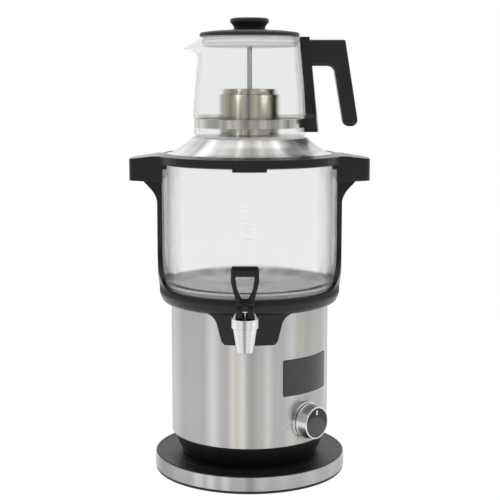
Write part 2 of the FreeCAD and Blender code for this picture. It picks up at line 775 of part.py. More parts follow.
# Lower frame: collar, apron and side arms in one moulding
collar_low = collar_bottom - 0.6
collar = turned("collar_form", [
    (s.shell_radius + s.fit_gap, collar_low), (s.collar_radius - 3.2, collar_low + 2.7),
    (s.collar_radius, collar_floor_top), (s.collar_radius, collar_top), (s.vessel_radius + 0.5, collar_top),
    (s.vessel_radius + 0.5, collar_floor_top), (s.collar_hole_radius, collar_floor_top),
    (s.collar_hole_radius, collar_under), (s.shell_radius + s.fit_gap, collar_under)])
round_edges(collar, 8, circle_at(s.collar_radius - 3.2, collar_low + 2.7))
apron_ring = turned("apron_ring", [(s.shell_radius + s.fit_gap, apron_bottom), (s.apron_radius, apron_bottom),
                                   (s.apron_radius, collar_low + 5), (s.shell_radius + s.fit_gap, collar_low + 5)])
round_edges(apron_ring, 1, circle_at(s.apron_radius, apron_bottom))
apron_brow = collar_low + 2
apron_shape = doc.addObject("PartDesign::Body", "apron_shape")
apron_sketch = new_sketch(apron_shape, "XZ_Plane", "apron_outline")
draw_outline(apron_sketch, [
    (-s.apron_half_low, apron_bottom - 1), (s.apron_half_low, apron_bottom - 1), (s.apron_half_high, apron_brow),
    (s.apron_half_high + 24, apron_brow), (s.apron_half_high + 24, collar_low + 6),
    (-s.apron_half_high - 24, collar_low + 6), (-s.apron_half_high - 24, apron_brow), (-s.apron_half_high, apron_brow)])
apron_pad = apron_shape.newObject("PartDesign::Pad", "apron_pad")
apron_pad.Profile = apron_sketch
bind(apron_pad, "Length", s.apron_radius + 10)
doc.recompute()
round_edges(apron_shape, s.apron_low_corner, line_at([(-s.apron_half_low, apron_bottom - 1),
                                                      (s.apron_half_low, apron_bottom - 1)]))
round_edges(apron_shape, s.apron_high_fillet, line_at([(-s.apron_half_high, apron_brow),
                                                       (s.apron_half_high, apron_brow)]))
apron = common("apron", apron_ring, apron_shape)
arm_ring = turned("arm_ring", [
    (s.arm_inner_radius, collar_floor_top), (s.collar_radius, collar_floor_top), (s.collar_radius, collar_top),
    (s.arm_outer_radius, collar_top + 18), (s.arm_outer_radius, ear_bottom), (s.arm_inner_radius, ear_bottom)])
arm_foot = collar_top + 0.5
arm_shape = prism("arm_shape", "YZ_Plane", [
    (-s.arm_flare_half, collar_floor_top), (s.arm_flare_half, collar_floor_top), (s.arm_flare_half, arm_foot),
    (s.arm_half_width, arm_foot), (s.arm_half_width, ear_bottom), (-s.arm_half_width, ear_bottom),
    (-s.arm_half_width, arm_foot), (-s.arm_flare_half, arm_foot)], s.arm_outer_radius * 2 + 10)
round_edges(arm_shape, s.arm_flare_half - s.arm_half_width - 4,
            line_at([(-s.arm_half_width, arm_foot), (s.arm_half_width, arm_foot)], "YZ"))
arms = common("arms", arm_ring, arm_shape)


def gusset(name, side):
    """The widening of a side arm below its ear."""
    knee = (side * (s.arm_outer_radius + 0.7), ear_bottom - s.gusset_drop / 2)
    body = prism(name, "XZ_Plane", [
        (side * (s.arm_inner_radius + 1), ear_bottom - s.gusset_drop),
        (side * (s.arm_outer_radius - 2.5), ear_bottom - s.gusset_drop), knee,
        (side * s.gusset_reach, ear_bottom), (side * (s.arm_inner_radius + 1), ear_bottom)],
        s.arm_half_width * 2)
    round_edges(body, 26, line_at([knee]))
    return body


frame_screw_x = s.gusset_reach - 8
frame_screw_places = [(x * frame_screw_x, y * (s.arm_half_width - 9)) for x in (-1, 1) for y in (-1, 1)]
frame_shank_holes = pins("frame_shank_holes", frame_screw_places, s.screw_radius + s.fit_gap, s.gusset_drop)
place(frame_shank_holes, z=ear_bottom - s.gusset_drop + 1)
frame_head_holes = pins("frame_head_holes", frame_screw_places, s.screw_head_radius + s.fit_gap, s.gusset_drop - 5)
place(frame_head_holes, z=ear_bottom - s.gusset_drop)
drain_hole = cylinder("drain_hole", s.drain_radius + s.fit_gap, 10, s.tap_offset, -s.drain_reach, collar_under - 3)
stud_places = on_circle(s.stud_circle, 3, 60)
stud_holes = pins("stud_holes", stud_places, s.stud_radius + s.fit_gap, s.collar_floor_plate + 4)
place(stud_holes, z=collar_under - 2)
frame_shank_way = cylinder("frame_shank_way", s.shank_radius + s.fit_gap, s.tap_reach, s.tap_offset, 0,
                           shank_height, front)
keep("lower_frame", cut("lower", fused("lower_block", [collar, apron, arms, gusset("gusset_left", -1),
                                                       gusset("gusset_right", 1)]),
                        [frame_shank_holes, frame_head_holes, drain_hole, stud_holes, frame_shank_way]))

# Upper frame: ring, ears, front tab and lugs in one moulding
ring = turned("ring_form", [
    (s.ring_inner_radius, ring_bottom), (s.ring_radius, ring_bottom), (s.ring_radius, ring_edge_top),
    (s.cone_radius + s.run_gap, ring_crown), (s.cone_radius + s.run_gap, ring_seat),
    (s.ring_inner_radius, ring_seat)])
round_edges(ring, 1, circle_at(s.ring_radius, ring_edge_top))


def ear(name, side):
    """A carrying ear: a block that narrows outwards and slopes down a little."""
    corners = [(side * s.ear_root_x, -s.ear_root_half), (side * s.ear_reach, -s.ear_end_half),
               (side * s.ear_reach, s.ear_end_half), (side * s.ear_root_x, s.ear_root_half)]
    body = prism(name, "XY_Plane", corners, ring_edge_top - ear_bottom, symmetric=False)
    round_edges(body, s.ear_corner, line_at([corners[1], corners[2]], "XY"))
    place(body, z=ear_bottom)
    slope = prism(name + "_slope", "XZ_Plane", [
        (side * (s.ring_radius + 0.5), ring_edge_top), (side * s.ear_reach, ear_end_top),
        (side * (s.ear_reach + 5), ear_end_top), (side * (s.ear_reach + 5), ring_edge_top + 5),
        (side * (s.ring_radius + 0.5), ring_edge_top + 5)], s.ear_root_half * 2 + 20)
    return cut(name + "_block", body, [slope])


ear_hollow = cylinder("ear_hollow", s.arm_inner_radius, ring_bottom - ear_bottom + 1, z=ear_bottom - 1)
tab_ring = turned("tab_ring", [(s.tab_inner_radius, tab_bottom), (s.ring_radius, tab_bottom),
                               (s.ring_radius, ring_bottom + 1), (s.tab_inner_radius, ring_bottom + 1)])
tab_block = block("tab_block", s.tab_half_width * 2, 30, 10, y=-s.ring_radius, z=tab_bottom - 1)
tab = common("front_tab", tab_ring, tab_block)
lug_ring = turned("lug_ring", [(s.vessel_radius + 0.8, lug_bottom), (s.arm_inner_radius + 5, lug_bottom),
                               (s.arm_inner_radius + 5, ring_bottom + 1), (s.vessel_radius + 0.8, ring_bottom + 1)])
lugs = [common("lug%d" % i, lug_ring, block("lug_block%d" % i, 10, s.lug_half_width, 12, x * s.ear_root_x,
                                           y * (s.ear_root_half - s.lug_half_width / 2), lug_bottom - 1))
        for i, (x, y) in enumerate([(-1, -1), (1, -1), (-1, 1), (1, 1)])]
ears = cut("ears", fused("ear_pair", [ear("ear_left", -1), ear("ear_right", 1)]), [ear_hollow])
ear_screw_holes = pins("ear_screw_holes", frame_screw_places, s.screw_radius + s.rod_gap, 14)
place(ear_screw_holes, z=ear_bottom - 1)
keep("upper_frame", cut("upper", fused("upper_block", [ring, ears, tab] + lugs), [ear_screw_holes]))
frame_heads = pins("frame_heads", frame_screw_places, s.screw_head_radius, s.screw_head)
place(frame_heads, z=ear_bottom - 5 - s.screw_head)
frame_shanks = pins("frame_shanks", frame_screw_places, s.screw_radius, 16)
place(frame_shanks, z=ear_bottom - 5 - s.screw_head / 2)
keep("frame_screws", fused("frame_screw_set", [frame_heads, frame_shanks]))

# Glass vessel and its seals
vessel = turned("vessel", [
    (s.vessel_hole_radius, vessel_bottom), (s.vessel_radius, vessel_bottom), (s.vessel_radius, vessel_top),
    (vessel_inner, vessel_top), (vessel_inner, vessel_floor), (s.vessel_hole_radius, vessel_floor)])
round_edges(vessel, s.vessel_corner, circle_at(s.vessel_radius, vessel_bottom))
round_edges(vessel, s.vessel_corner - s.vessel_wall, circle_at(vessel_inner, vessel_floor))
keep("glass_vessel", vessel)
seal_outer = s.vessel_radius - s.vessel_corner
keep("vessel_seal", compound_ring("seal_low", seal_outer, seal_outer - s.vessel_hole_radius, s.seal_thick,
                                  collar_floor_top))
keep("upper_seal", compound_ring("seal_high", s.vessel_radius + 0.4, s.vessel_wall + 0.4,
                                 ring_bottom - vessel_top, vessel_top))

# Heater dish with its studs and drain spout
skirt_outer = seal_outer - 0.6
skirt_inner = skirt_outer - s.dish_wall
dish_rise = dish_rim_height - dish_floor_height
dish_run = s.dish_radius - 1 - s.dish_floor_radius
slope_at = dish_rise / dish_run
dish_seat = vessel_floor + s.seal_thick
dish_form = turned("dish_form", [
    (0, dish_under), (s.dish_floor_radius, dish_under),
    (skirt_inner, dish_under + slope_at.value * (skirt_inner - s.dish_floor_radius)), (skirt_inner, dish_seat),
    (skirt_outer, dish_seat), (skirt_outer, dish_under + slope_at.value * (skirt_outer - s.dish_floor_radius)),
    (s.dish_radius, dish_rim_height - s.dish_wall), (s.dish_radius, dish_rim_height),
    (s.dish_radius - 1, dish_rim_height), (s.dish_floor_radius, dish_floor_height), (0, dish_floor_height)])
studs = pins("studs", stud_places, s.stud_radius, dish_under - stud_bottom + 0.5)
place(studs, z=stud_bottom)
spout_tube = cylinder("spout_tube", s.drain_radius, dish_under - drain_bottom + 0.5, s.tap_offset,
                      -s.drain_reach, drain_bottom)
spout_bore = cylinder("spout_bore", s.drain_radius - s.drain_wall, dish_under - drain_bottom + 5, s.tap_offset,
                      -s.drain_reach, drain_bottom - 1)
keep("heater_dish", cut("dish", fused("dish_block", [dish_form, studs, spout_tube]), [spout_bore]))
keep("dish_seal", compound_ring("seal_dish", seal_outer, seal_outer - s.vessel_hole_radius, s.seal_thick,
                                vessel_floor))
nut_disc = pins("nut_discs", stud_places, s.stud_radius * 2, collar_under - stud_bottom - 0.5)
place(nut_disc, z=stud_bottom + 0.5)
nut_bores = pins("nut_bores", stud_places, s.stud_radius + s.rod_gap, collar_under - stud_bottom + 2)
place(nut_bores, z=stud_bottom - 0.5)
keep("dish_nuts", cut("nuts", nut_disc, [nut_bores]))

# Heating element and its guards, under the dish
element = doc.addObject("Part::Torus", "element_ring")
bind(element, "Radius1", s.element_circle)
bind(element, "Radius2", s.element_radius)
place(element, z=dish_under - s.element_radius)
terminals = pins("element_ends", [(-7, s.element_circle), (7, s.element_circle)], s.element_radius * 0.6, 14)
place(terminals, z=dish_under - s.element_radius - 14)
keep("heating_element", fused("element", [element, terminals]))
keep("thermostat", turned("thermostat_form", [
    (0, dish_under - 11), (8, dish_under - 11), (8, dish_under - 5), (13, dish_under - 5), (13, dish_under),
    (0, dish_under)]))
keep("thermal_fuse", cylinder("fuse", 3, 16, 30, 8, dish_under - 3, front))
keep("temperature_probe", cylinder("probe", 3.5, 12, -30, 10, dish_under - 12))

# Drain hose from the dish spout to the tap shank
hose_bend = s.shank_inner_end - s.drain_reach
hose_outer = s.drain_radius + s.hose_wall
hose_inner = s.drain_radius + s.rod_gap


def hose_form(name, radius, spare):
    """A straight run down and a quarter bend towards the front."""
    drop = cylinder(name + "_drop", radius, 14 + spare, s.tap_offset, -s.drain_reach, shank_height + hose_bend)
    bend = doc.addObject("Part::Torus", name + "_bend")
    bind(bend, "Radius1", hose_bend)
    bind(bend, "Radius2", radius)
    bend.Angle3 = 90
    place(bend, s.tap_offset, -s.shank_inner_end, shank_height + hose_bend,
          Rotation(Vector(0, 1, 0), Vector(0, 0, -1), Vector(-1, 0, 0), "XYZ"))
    return drop, bend


hose_skin = hose_form("hose_skin", hose_outer, 0)
hose_core = hose_form("hose_core", hose_inner, 1)
keep("drain_hose", cut("hose", fused("hose_solid", list(hose_skin)), list(hose_core)))

# Tap: body with nozzle and shank, its seal and nut, and the collar on top
flange_face = s.apron_radius + s.seal_thick + 0.5
chamber = s.plug_seal_radius + 1.6
tap_barrel = turned("tap_barrel", [
    (s.nozzle_bore_radius, nozzle_bottom), (s.nozzle_radius, nozzle_bottom),
    (s.tap_barrel_radius, tap_collar_bottom), (chamber, tap_collar_bottom), (chamber, valve_seat_height),
    (s.nozzle_bore_radius - 1.5, valve_seat_height), (s.nozzle_bore_radius - 1.5, valve_seat_height - 3),
    (s.nozzle_bore_radius, valve_seat_height - 5)])
round_edges(tap_barrel, 0.8, circle_at(s.nozzle_radius, nozzle_bottom))
place(tap_barrel, s.tap_offset, -s.tap_reach)
shank = cylinder("shank", s.shank_radius, s.tap_reach - s.shank_inner_end - chamber, s.tap_offset,
                 -s.shank_inner_end, shank_height, front)
flange = cylinder("flange", s.tap_flange_radius, s.tap_flange, s.tap_offset, -flange_face, shank_height, front)
shank_bore = cylinder("shank_bore", s.shank_bore_radius, s.tap_reach - s.shank_inner_end + 1, s.tap_offset,
                      1 - s.shank_inner_end, shank_height, front)
chamber_space = cylinder("chamber_space", chamber, tap_collar_bottom - valve_seat_height + 2, s.tap_offset,
                         -s.tap_reach, valve_seat_height)
keep("tap_body", cut("tap_casting", fused("tap_block", [tap_barrel, shank, flange]), [shank_bore, chamber_space]))
seal_disc = cylinder("seal_disc", s.tap_flange_radius, s.seal_thick + 5, s.tap_offset, 5 + s.seal_thick - flange_face,
                     shank_height, front)
seal_bore = cylinder("seal_bore", s.shank_radius + s.rod_gap, 20, s.tap_offset, 10 - flange_face, shank_height, front)
seal_back = cylinder("seal_back", s.apron_radius, 60, z=shank_height - 30)
keep("tap_seal", cut("tap_seal_form", seal_disc, [seal_bore, seal_back]))
tap_nut = hex_nut("tap_nut_form", s.tap_flange_radius, s.shank_radius + s.rod_gap, 6)
place(tap_nut, s.tap_offset, -(shell_inner - 7.4), shank_height, front)
keep("tap_nut", tap_nut)
fork_floor = tap_collar_top
collar_nut = turned("collar_nut", [
    (chamber, tap_collar_bottom), (s.tap_collar_radius, tap_collar_bottom),
    (s.tap_collar_radius, tap_collar_top), (s.shoulder_top_radius + 1, shoulder_top),
    (s.stem_radius + 0.25, shoulder_top), (s.stem_radius + 0.25, tap_collar_bottom + 4.5),
    (chamber, tap_collar_bottom + 4.5)])
round_edges(collar_nut, 0.6, circle_at(s.tap_collar_radius, tap_collar_bottom))
round_edges(collar_nut, 0.6, circle_at(s.tap_collar_radius, tap_collar_top))
place(collar_nut, s.tap_offset, -s.tap_reach)
fork_way = block("fork_way", s.lever_width + s.run_gap * 2, 60, 20, s.tap_offset, -s.tap_reach, fork_floor)
keep("tap_collar", cut("collar_with_slot", collar_nut, [fork_way]))

# Tap stem with its plug, spring and pin, and the forked lever
plug_low = valve_seat_height + 0.3
stem_low = plug_low + 2
stem_rod = cylinder("stem_rod", s.stem_radius, shoulder_top + 2 - stem_low, s.tap_offset, -s.tap_reach, stem_low)
head_width = s.lever_slot - s.run_gap * 2
stem_head = block("stem_head", head_width, 5, stem_top - shoulder_top - 1, s.tap_offset, -s.tap_reach,
                  shoulder_top + 1)
side = Rotation(Vector(0, 1, 0), 90)
stem_eye = cylinder("stem_eye", s.lever_pin_radius + 0.02, 20, s.tap_offset - 10, -s.tap_reach, lever_pin_height, side)
keep("tap_stem", cut("stem", fused("stem_block", [stem_rod, stem_head]), [stem_eye]))
valve_plug = turned("valve_plug", [
    (0, plug_low), (s.plug_seal_radius - 1.5, plug_low), (s.plug_seal_radius, plug_low + 1.5),
    (s.plug_seal_radius, plug_low + s.plug_seal_height), (s.stem_radius + s.rod_gap, plug_low + s.plug_seal_height),
    (s.stem_radius + s.rod_gap, stem_low), (0, stem_low)])
place(valve_plug, s.tap_offset, -s.tap_reach)
keep("valve_plug", valve_plug)
spring_low = plug_low + s.plug_seal_height
spring = compound_ring("spring", s.plug_seal_radius - 1.4, 2.4, tap_collar_bottom + 4.5 - spring_low, spring_low)
place(spring, s.tap_offset, -s.tap_reach)
keep("valve_spring", spring)
keep("tap_pin", cylinder("lever_pin", s.lever_pin_radius, s.lever_width - 0.6,
                         s.tap_offset - s.lever_width / 2 + 0.3, -s.tap_reach, lever_pin_height, side))
fork_low = fork_floor + s.run_gap
fork_half = s.lever_depth / 2
fork = prism("fork", "YZ_Plane", [(-fork_half, fork_low), (fork_half, fork_low), (fork_half, lever_hub_top),
                                  (-fork_half, lever_hub_top)], s.lever_width)
round_edges(fork, s.lever_hub_round, line_at([(-fork_half, lever_hub_top), (fork_half, lever_hub_top)], "YZ"))
waist = s.lever_width / 2
lever_face = prism("lever_face", "XZ_Plane", [
    (-waist, lever_hub_top - 8), (waist, lever_hub_top - 8), (waist + 0.8, lever_hub_top),
    (s.lever_top_half + 0.4, lever_top - 16), (s.lever_top_half, lever_top), (-s.lever_top_half, lever_top),
    (-s.lever_top_half - 0.4, lever_top - 16), (-waist - 0.8, lever_hub_top)], s.lever_plate)
round_edges(lever_face, 2, line_at([(-s.lever_top_half, lever_top), (s.lever_top_half, lever_top)]))
round_edges(lever_face, 20, line_at([(-s.lever_top_half - 0.4, lever_top - 16),
                                     (s.lever_top_half + 0.4, lever_top - 16)]))
hole_half = s.lever_top_half - s.lever_side
hole_low = lever_hub_top + 3.2
hole_high = lever_top - s.lever_bar
lever_hole = prism("lever_hole", "XZ_Plane", [
    (-hole_half, hole_high), (1.8 - hole_half, hole_low + 9.5), (-3.8, hole_low), (3.8, hole_low),
    (hole_half - 1.8, hole_low + 9.5), (hole_half, hole_high)], s.lever_plate + 10)
round_edges(lever_hole, 3, line_at([(-3.8, hole_low), (3.8, hole_low)]))
round_edges(lever_hole, 12, line_at([(1.8 - hole_half, hole_low + 9.5), (hole_half - 1.8, hole_low + 9.5)]))
round_edges(lever_hole, 0.8, line_at([(-hole_half, hole_high), (hole_half, hole_high)]))
fork_slot = block("fork_slot", s.lever_slot, 40, lever_slot_top - fork_low + 1, 0, 0, fork_low - 1)
fork_room = block("fork_room", s.lever_slot, s.lever_depth, stem_top + 2 - fork_low, 0, s.lever_cheek, fork_low)
lever_eye = cylinder("lever_eye", s.lever_pin_radius + s.rod_gap, 30, -15, 0, lever_pin_height, side)
lever = cut("lever", fused("lever_block", [fork, lever_face]), [lever_hole, fork_slot, fork_room, lever_eye])
place(lever, s.tap_offset, -s.tap_reach)
keep("tap_lever", lever)

# Display window with its frame and module
window = sector("window", window_inner, window_inner + s.window_thick, window_bottom, window_top,
                s.window_middle_angle, s.window_span_angle)
keep("display_window", soft_corners("window_soft", window, s.shell_radius + s.window_proud, window_bottom,
                                    window_top, 0))
frame_span = s.window_span_angle + s.window_lap * 2 * degree_gap / s.fit_gap
frame_inner = window_inner - 2.4
frame_rim = sector("frame_rim", frame_inner, window_inner, window_bottom - s.window_lap, window_top + s.window_lap,
                   s.window_middle_angle, frame_span)
frame_way = sector("frame_way", frame_inner - 20, window_inner + 5, window_bottom + s.window_lap,
                   window_top - s.window_lap, s.window_middle_angle,
                   s.window_span_angle - s.window_lap * 2 * degree_gap / s.fit_gap)
pegs = []
for i, (x, z) in enumerate([(-1, -1), (1, -1), (-1, 1), (1, 1)]):
    peg = cylinder("peg%d" % i, 2.2, 5)
    along = (s.module_width / 2 - 3) * x
    level = (window_bottom + window_top) / 2 + (s.module_tall / 2 + 1.5) * z
    turned_place(peg, s.window_middle_angle, along, -s.module_reach, level, radial(s.window_middle_angle))
    pegs.append(peg)
frame_edge = cylinder("frame_edge", window_inner, 80, z=window_bottom - 20)
keep("display_frame", common("display_frame_form", fused("frame_block", [cut("frame_open", frame_rim, [frame_way])] + pegs),
                             frame_edge))
module = doc.addObject("Part::Box", "module")
bind(module, "Length", s.module_width)
bind(module, "Width", s.module_thick)
bind(module, "Height", s.module_tall + 6)
turned_place(module, s.window_middle_angle, -s.module_width / 2, -s.module_reach,
             (window_bottom + window_top) / 2 - s.module_tall / 2 - 3)
keep("display_module", module)

# Selector: bezel, encoder and its nut, then the knob that turns
outwards = radial(s.knob_angle)
bezel = turned("bezel_form", [
    (s.bezel_hole_radius, s.shell_radius - 4), (s.bezel_radius, s.shell_radius - 4), (s.bezel_radius, s.bezel_face - 0.6),
    (s.bezel_radius - 0.6, s.bezel_face), (s.bezel_hole_radius, s.bezel_face)])
place(bezel, z=knob_height, rotation=outwards)
bezel_back = cylinder("bezel_back", s.shell_radius, 80, z=knob_height - 40)
keep("knob_bezel", cut("bezel", bezel, [bezel_back]))
encoder_face = shell_inner - 3.4
shoulder = shell_inner - 0.4
encoder_box = doc.addObject("Part::Box", "encoder_box")
bind(encoder_box, "Length", s.encoder_size)
bind(encoder_box, "Width", s.encoder_depth)
bind(encoder_box, "Height", s.encoder_size)
turned_place(encoder_box, s.knob_angle, -s.encoder_size / 2, -encoder_face, knob_height - s.encoder_size / 2)
bushing = turned("bushing", [
    (s.shaft_radius + s.rod_gap, encoder_face - 1), (s.bushing_radius + 3.5, encoder_face - 1),
    (s.bushing_radius + 3.5, shoulder), (s.bushing_radius, shoulder), (s.bushing_radius, s.bezel_face + 0.4),
    (s.shaft_radius + s.rod_gap, s.bezel_face + 0.4)])
place(bushing, z=knob_height, rotation=outwards)
shaft_back = encoder_face - s.encoder_depth + 2
shaft_way = cylinder("shaft_way", s.shaft_radius + s.rod_gap, 40)
turned_place(shaft_way, s.knob_angle, 0, -shaft_back, knob_height, outwards)
keep("encoder", cut("encoder_form", fused("encoder_block", [encoder_box, bushing]), [shaft_way]))
encoder_nut = hex_nut("encoder_nut_form", s.bushing_radius + 3.5, s.bushing_radius + s.rod_gap, s.bezel_face - s.shell_radius)
turned_place(encoder_nut, s.knob_angle, 0, -s.shell_radius, knob_height, outwards)
keep("encoder_nut", encoder_nut)
knob_back = s.bezel_face + s.run_gap
cap_seat = s.knob_front - s.knob_face_sink - s.knob_cap_thick
shaft_end = cap_seat - 2.2
cap_radius = s.knob_front_radius - 1.7
knob = turned("knob_form", [
    (0, shaft_end), (s.shaft_radius + s.rod_gap, shaft_end), (s.shaft_radius + s.rod_gap, knob_back + 1.6),
    (s.shaft_radius + 3.5, knob_back + 1.6), (s.shaft_radius + 3.5, cap_seat - 3),
    (s.knob_front_radius - s.knob_wall - 0.6, cap_seat - 3), (s.knob_base_radius - s.knob_wall, knob_back),
    (s.knob_base_radius, knob_back), (s.knob_base_radius, knob_back + 3), (s.knob_front_radius, s.knob_front),
    (cap_radius, s.knob_front), (cap_radius, cap_seat), (0, cap_seat)])
round_edges(knob, 0.6, circle_at(s.knob_front_radius, s.knob_front))
place(knob, z=knob_height, rotation=outwards)
keep("knob_body", knob)
face = turned("knob_face_form", [(0, cap_seat), (cap_radius - s.rod_gap, cap_seat),
                                 (cap_radius - s.rod_gap, cap_seat + s.knob_cap_thick), (0, cap_seat + s.knob_cap_thick)])
place(face, z=knob_height, rotation=outwards)
keep("knob_face", face)
pointer = doc.addObject("Part::Box", "pointer")
bind(pointer, "Length", 2.2)
bind(pointer, "Width", 0.3)
bind(pointer, "Height", 5)
turned_place(pointer, s.knob_angle, -1.1, -(cap_seat + s.knob_cap_thick + 0.3), knob_height + cap_radius - 7)
keep("knob_pointer", pointer)
shaft = cylinder("shaft", s.shaft_radius, shaft_end - shaft_back - s.run_gap)
turned_place(shaft, s.knob_angle, 0, -(shaft_back + s.run_gap), knob_height, outwards)
keep("knob_shaft", shaft)

# Steam cone that carries the teapot
seat_top = pot_bottom - 0.3
keep("steam_cone", turned("cone", [
    (s.cone_radius, ring_seat), (s.cone_radius, ring_seat + s.cone_wall), (s.cone_radius - 4.5, ring_seat + 1.8),
    (s.cone_radius - 8.8, ring_seat + 3.4), (s.cone_radius - 19.5, cone_top - 8.4),
    (s.cone_radius - 25.9, cone_top - 2.9), (s.cone_top_radius, cone_top), (s.cone_top_radius - 1, cone_top),
    (s.cone_top_radius - 1.8, seat_top), (s.cone_seat_radius, seat_top), (s.cone_seat_radius, seat_top - s.cone_wall),
    (s.cone_top_radius - 1.1, seat_top - s.cone_wall), (s.cone_top_radius - 0.1, cone_top - 1.1),
    (s.cone_radius - 26.5, cone_top - 3.7), (s.cone_radius - 20.1, cone_top - 9.2),
    (s.cone_radius - 9.2, ring_seat + 2.5), (s.cone_radius - 4.8, ring_seat + 0.9), (s.cone_radius - 5.2, ring_seat)]))


# Teapot
def pot_outline(grow):
    """The teapot's outer outline, which can be grown a little to make room in a neighbour."""
    low, groove = s.pot_low_radius + grow, s.band_groove_radius + grow
    return [(0, pot_bottom), (s.pot_foot_radius + grow, pot_bottom), (low - 2.1, pot_bottom + 2.8),
            (low, pot_low_height), (low, band_bottom), (groove, band_bottom), (groove, band_top),
            (low, band_top), (s.pot_wide_radius + grow, pot_wide_height), (s.pot_mid_radius + grow, pot_mid_height),
            (s.pot_neck_radius + grow, pot_neck_height), (s.pot_rim_radius + grow, pot_rim_height),
            (0, pot_rim_height)]


lip_slope = (s.lip_reach - s.lip_centre).value / (lip_tip_height - lip_apex_height).value


def lip_cone(name, apex, top):
    """A cone for the pouring lip, point down."""
    thing = doc.addObject("Part::Cone", name)
    thing.Radius1 = 0
    bind(thing, "Radius2", (Size.of(top) - apex) * lip_slope)
    bind(thing, "Height", Size.of(top) - apex)
    place(thing, -s.lip_centre, 0, apex)
    return thing


pot_outer = turned("pot_outer", pot_outline(0))
inner_low = s.pot_low_radius - s.pot_wall
pot_inner = turned("pot_inner", [
    (0, pot_bottom + s.pot_wall), (s.pot_foot_radius - 1, pot_bottom + s.pot_wall),
    (inner_low - 2, pot_bottom + s.pot_wall + 2.2), (inner_low, pot_low_height),
    (s.band_groove_radius - s.pot_wall, band_bottom - 1.2), (s.band_groove_radius - s.pot_wall, band_top + 1.2),
    (s.pot_wide_radius - s.pot_wall, pot_wide_height + 2), (s.pot_mid_radius - s.pot_wall, pot_mid_height),
    (s.pot_neck_radius - s.pot_wall, pot_neck_height), (s.pot_rim_radius - s.pot_wall, pot_rim_height),
    (s.pot_rim_radius - s.pot_wall, pot_rim_height + 2), (0, pot_rim_height + 2)])
lip_lift = s.pot_wall * math.sqrt(1 + 1 / lip_slope ** 2)
lip_top = pot_rim_height + 2
droop = (pot_rim_height - lip_tip_height) / (s.lip_reach - s.pot_rim_radius).value
lip_trim = prism("lip_trim", "XZ_Plane", [
    (-20, pot_rim_height), (-s.pot_rim_radius, pot_rim_height),
    (-s.pot_rim_radius - 35, pot_rim_height - droop * 35), (-s.pot_rim_radius - 35, pot_rim_height + 20),
    (-20, pot_rim_height + 20)], 90)
lip = cut("lip", lip_cone("lip_outer", lip_apex_height, lip_top), [lip_trim])
keep("pot_glass", cut("pot", fused("pot_block", [pot_outer, lip]),
                      [pot_inner, lip_cone("lip_inner", lip_apex_height + lip_lift, lip_top + 4)]))
keep("pot_band", compound_ring("band", s.band_groove_radius + 0.1 + s.band_thick, s.band_thick,
                               band_top - band_bottom - 0.4, band_bottom + 0.2))

# Pot handle: a strap that hugs the glass and an open grip
strap_shell = turned("strap_shell", [
    (s.pot_rim_radius - 4, strap_bottom), (s.strap_bottom_outer, strap_bottom),
    (s.strap_top_outer, pot_rim_height), (s.pot_rim_radius - 4, pot_rim_height)])
strap_half = s.handle_width / 2
strap_shape = doc.addObject("PartDesign::Body", "strap_shape")
strap_sketch = new_sketch(strap_shape, "YZ_Plane", "strap_outline")
draw_outline(strap_sketch, [
    (-strap_half - 7.5, strap_bottom), (strap_half + 7.5, strap_bottom), (strap_half + 7.5, band_top + 1),
    (strap_half + 3, band_top + 5), (strap_half - 1.5, pot_rim_height), (1.5 - strap_half, pot_rim_height),
    (-strap_half - 3, band_top + 5), (-strap_half - 7.5, band_top + 1)])
strap_pad = strap_shape.newObject("PartDesign::Pad", "strap_pad")
strap_pad.Profile = strap_sketch
bind(strap_pad, "Length", s.strap_bottom_outer + 5)
doc.recompute()
strap = common("strap", strap_shell, strap_shape)
under_outer = s.grip_under_outer
grip = prism("grip", "XZ_Plane", [
    (s.pot_wide_radius + 0.5, grip_top), (s.grip_top_outer, grip_top), (s.grip_bottom_outer, grip_bottom),
    (s.grip_bottom_inner, grip_bottom), (under_outer, grip_under), (s.pot_wide_radius + 0.5, grip_under)],
    s.handle_width - 2)
round_edges(grip, 7, line_at([(s.grip_bottom_outer, grip_bottom), (s.grip_bottom_inner, grip_bottom)]))
round_edges(grip, s.grip_corner, line_at([(under_outer, grip_under)]))
round_edges(grip, 2, line_at([(s.grip_top_outer, grip_top)]))


def on_grip_side(edge):
    """Picks the long edges of the grip's two flat sides, clear of the strap."""
    middle = edge.valueAt((edge.FirstParameter + edge.LastParameter) / 2)
    flat = abs(abs(middle.y) - (s.handle_width.value / 2 - 1)) < 0.01
    ends = [v.Point for v in edge.Vertexes]
    return flat and all(abs(abs(p.y) - abs(middle.y)) < 0.01 for p in ends) and middle.x > s.pot_wide_radius.value + 2


round_edges(grip, s.handle_round, on_grip_side)
handle_room = turned("handle_room", pot_outline(0.15))
band_room = compound_ring("band_room", s.band_groove_radius + 0.25 + s.band_thick, s.band_thick + 5,
                          band_top - band_bottom, band_bottom)
screw_level = (band_bottom + band_top) / 2
handle_eye = cylinder("handle_eye", s.screw_radius + s.rod_gap, 30, s.band_groove_radius, 0, screw_level, side)
handle_sink = cylinder("handle_sink", s.screw_head_radius + s.fit_gap, 10, s.strap_bottom_outer - 3.2, 0, screw_level, side)
keep("pot_handle", cut("handle", fused("handle_block", [strap, grip]), [handle_room, band_room, handle_eye, handle_sink]))
shank_start = s.band_groove_radius + s.band_thick + 0.4
head_start = s.strap_bottom_outer - 3.2
handle_shank = cylinder("handle_shank", s.screw_radius, head_start - shank_start + 0.5, shank_start, 0, screw_level, side)
handle_head = cylinder("handle_head", s.screw_head_radius, s.screw_head, head_start, 0, screw_level, side)
keep("handle_screw", fused("handle_screw_set", [handle_shank, handle_head]))

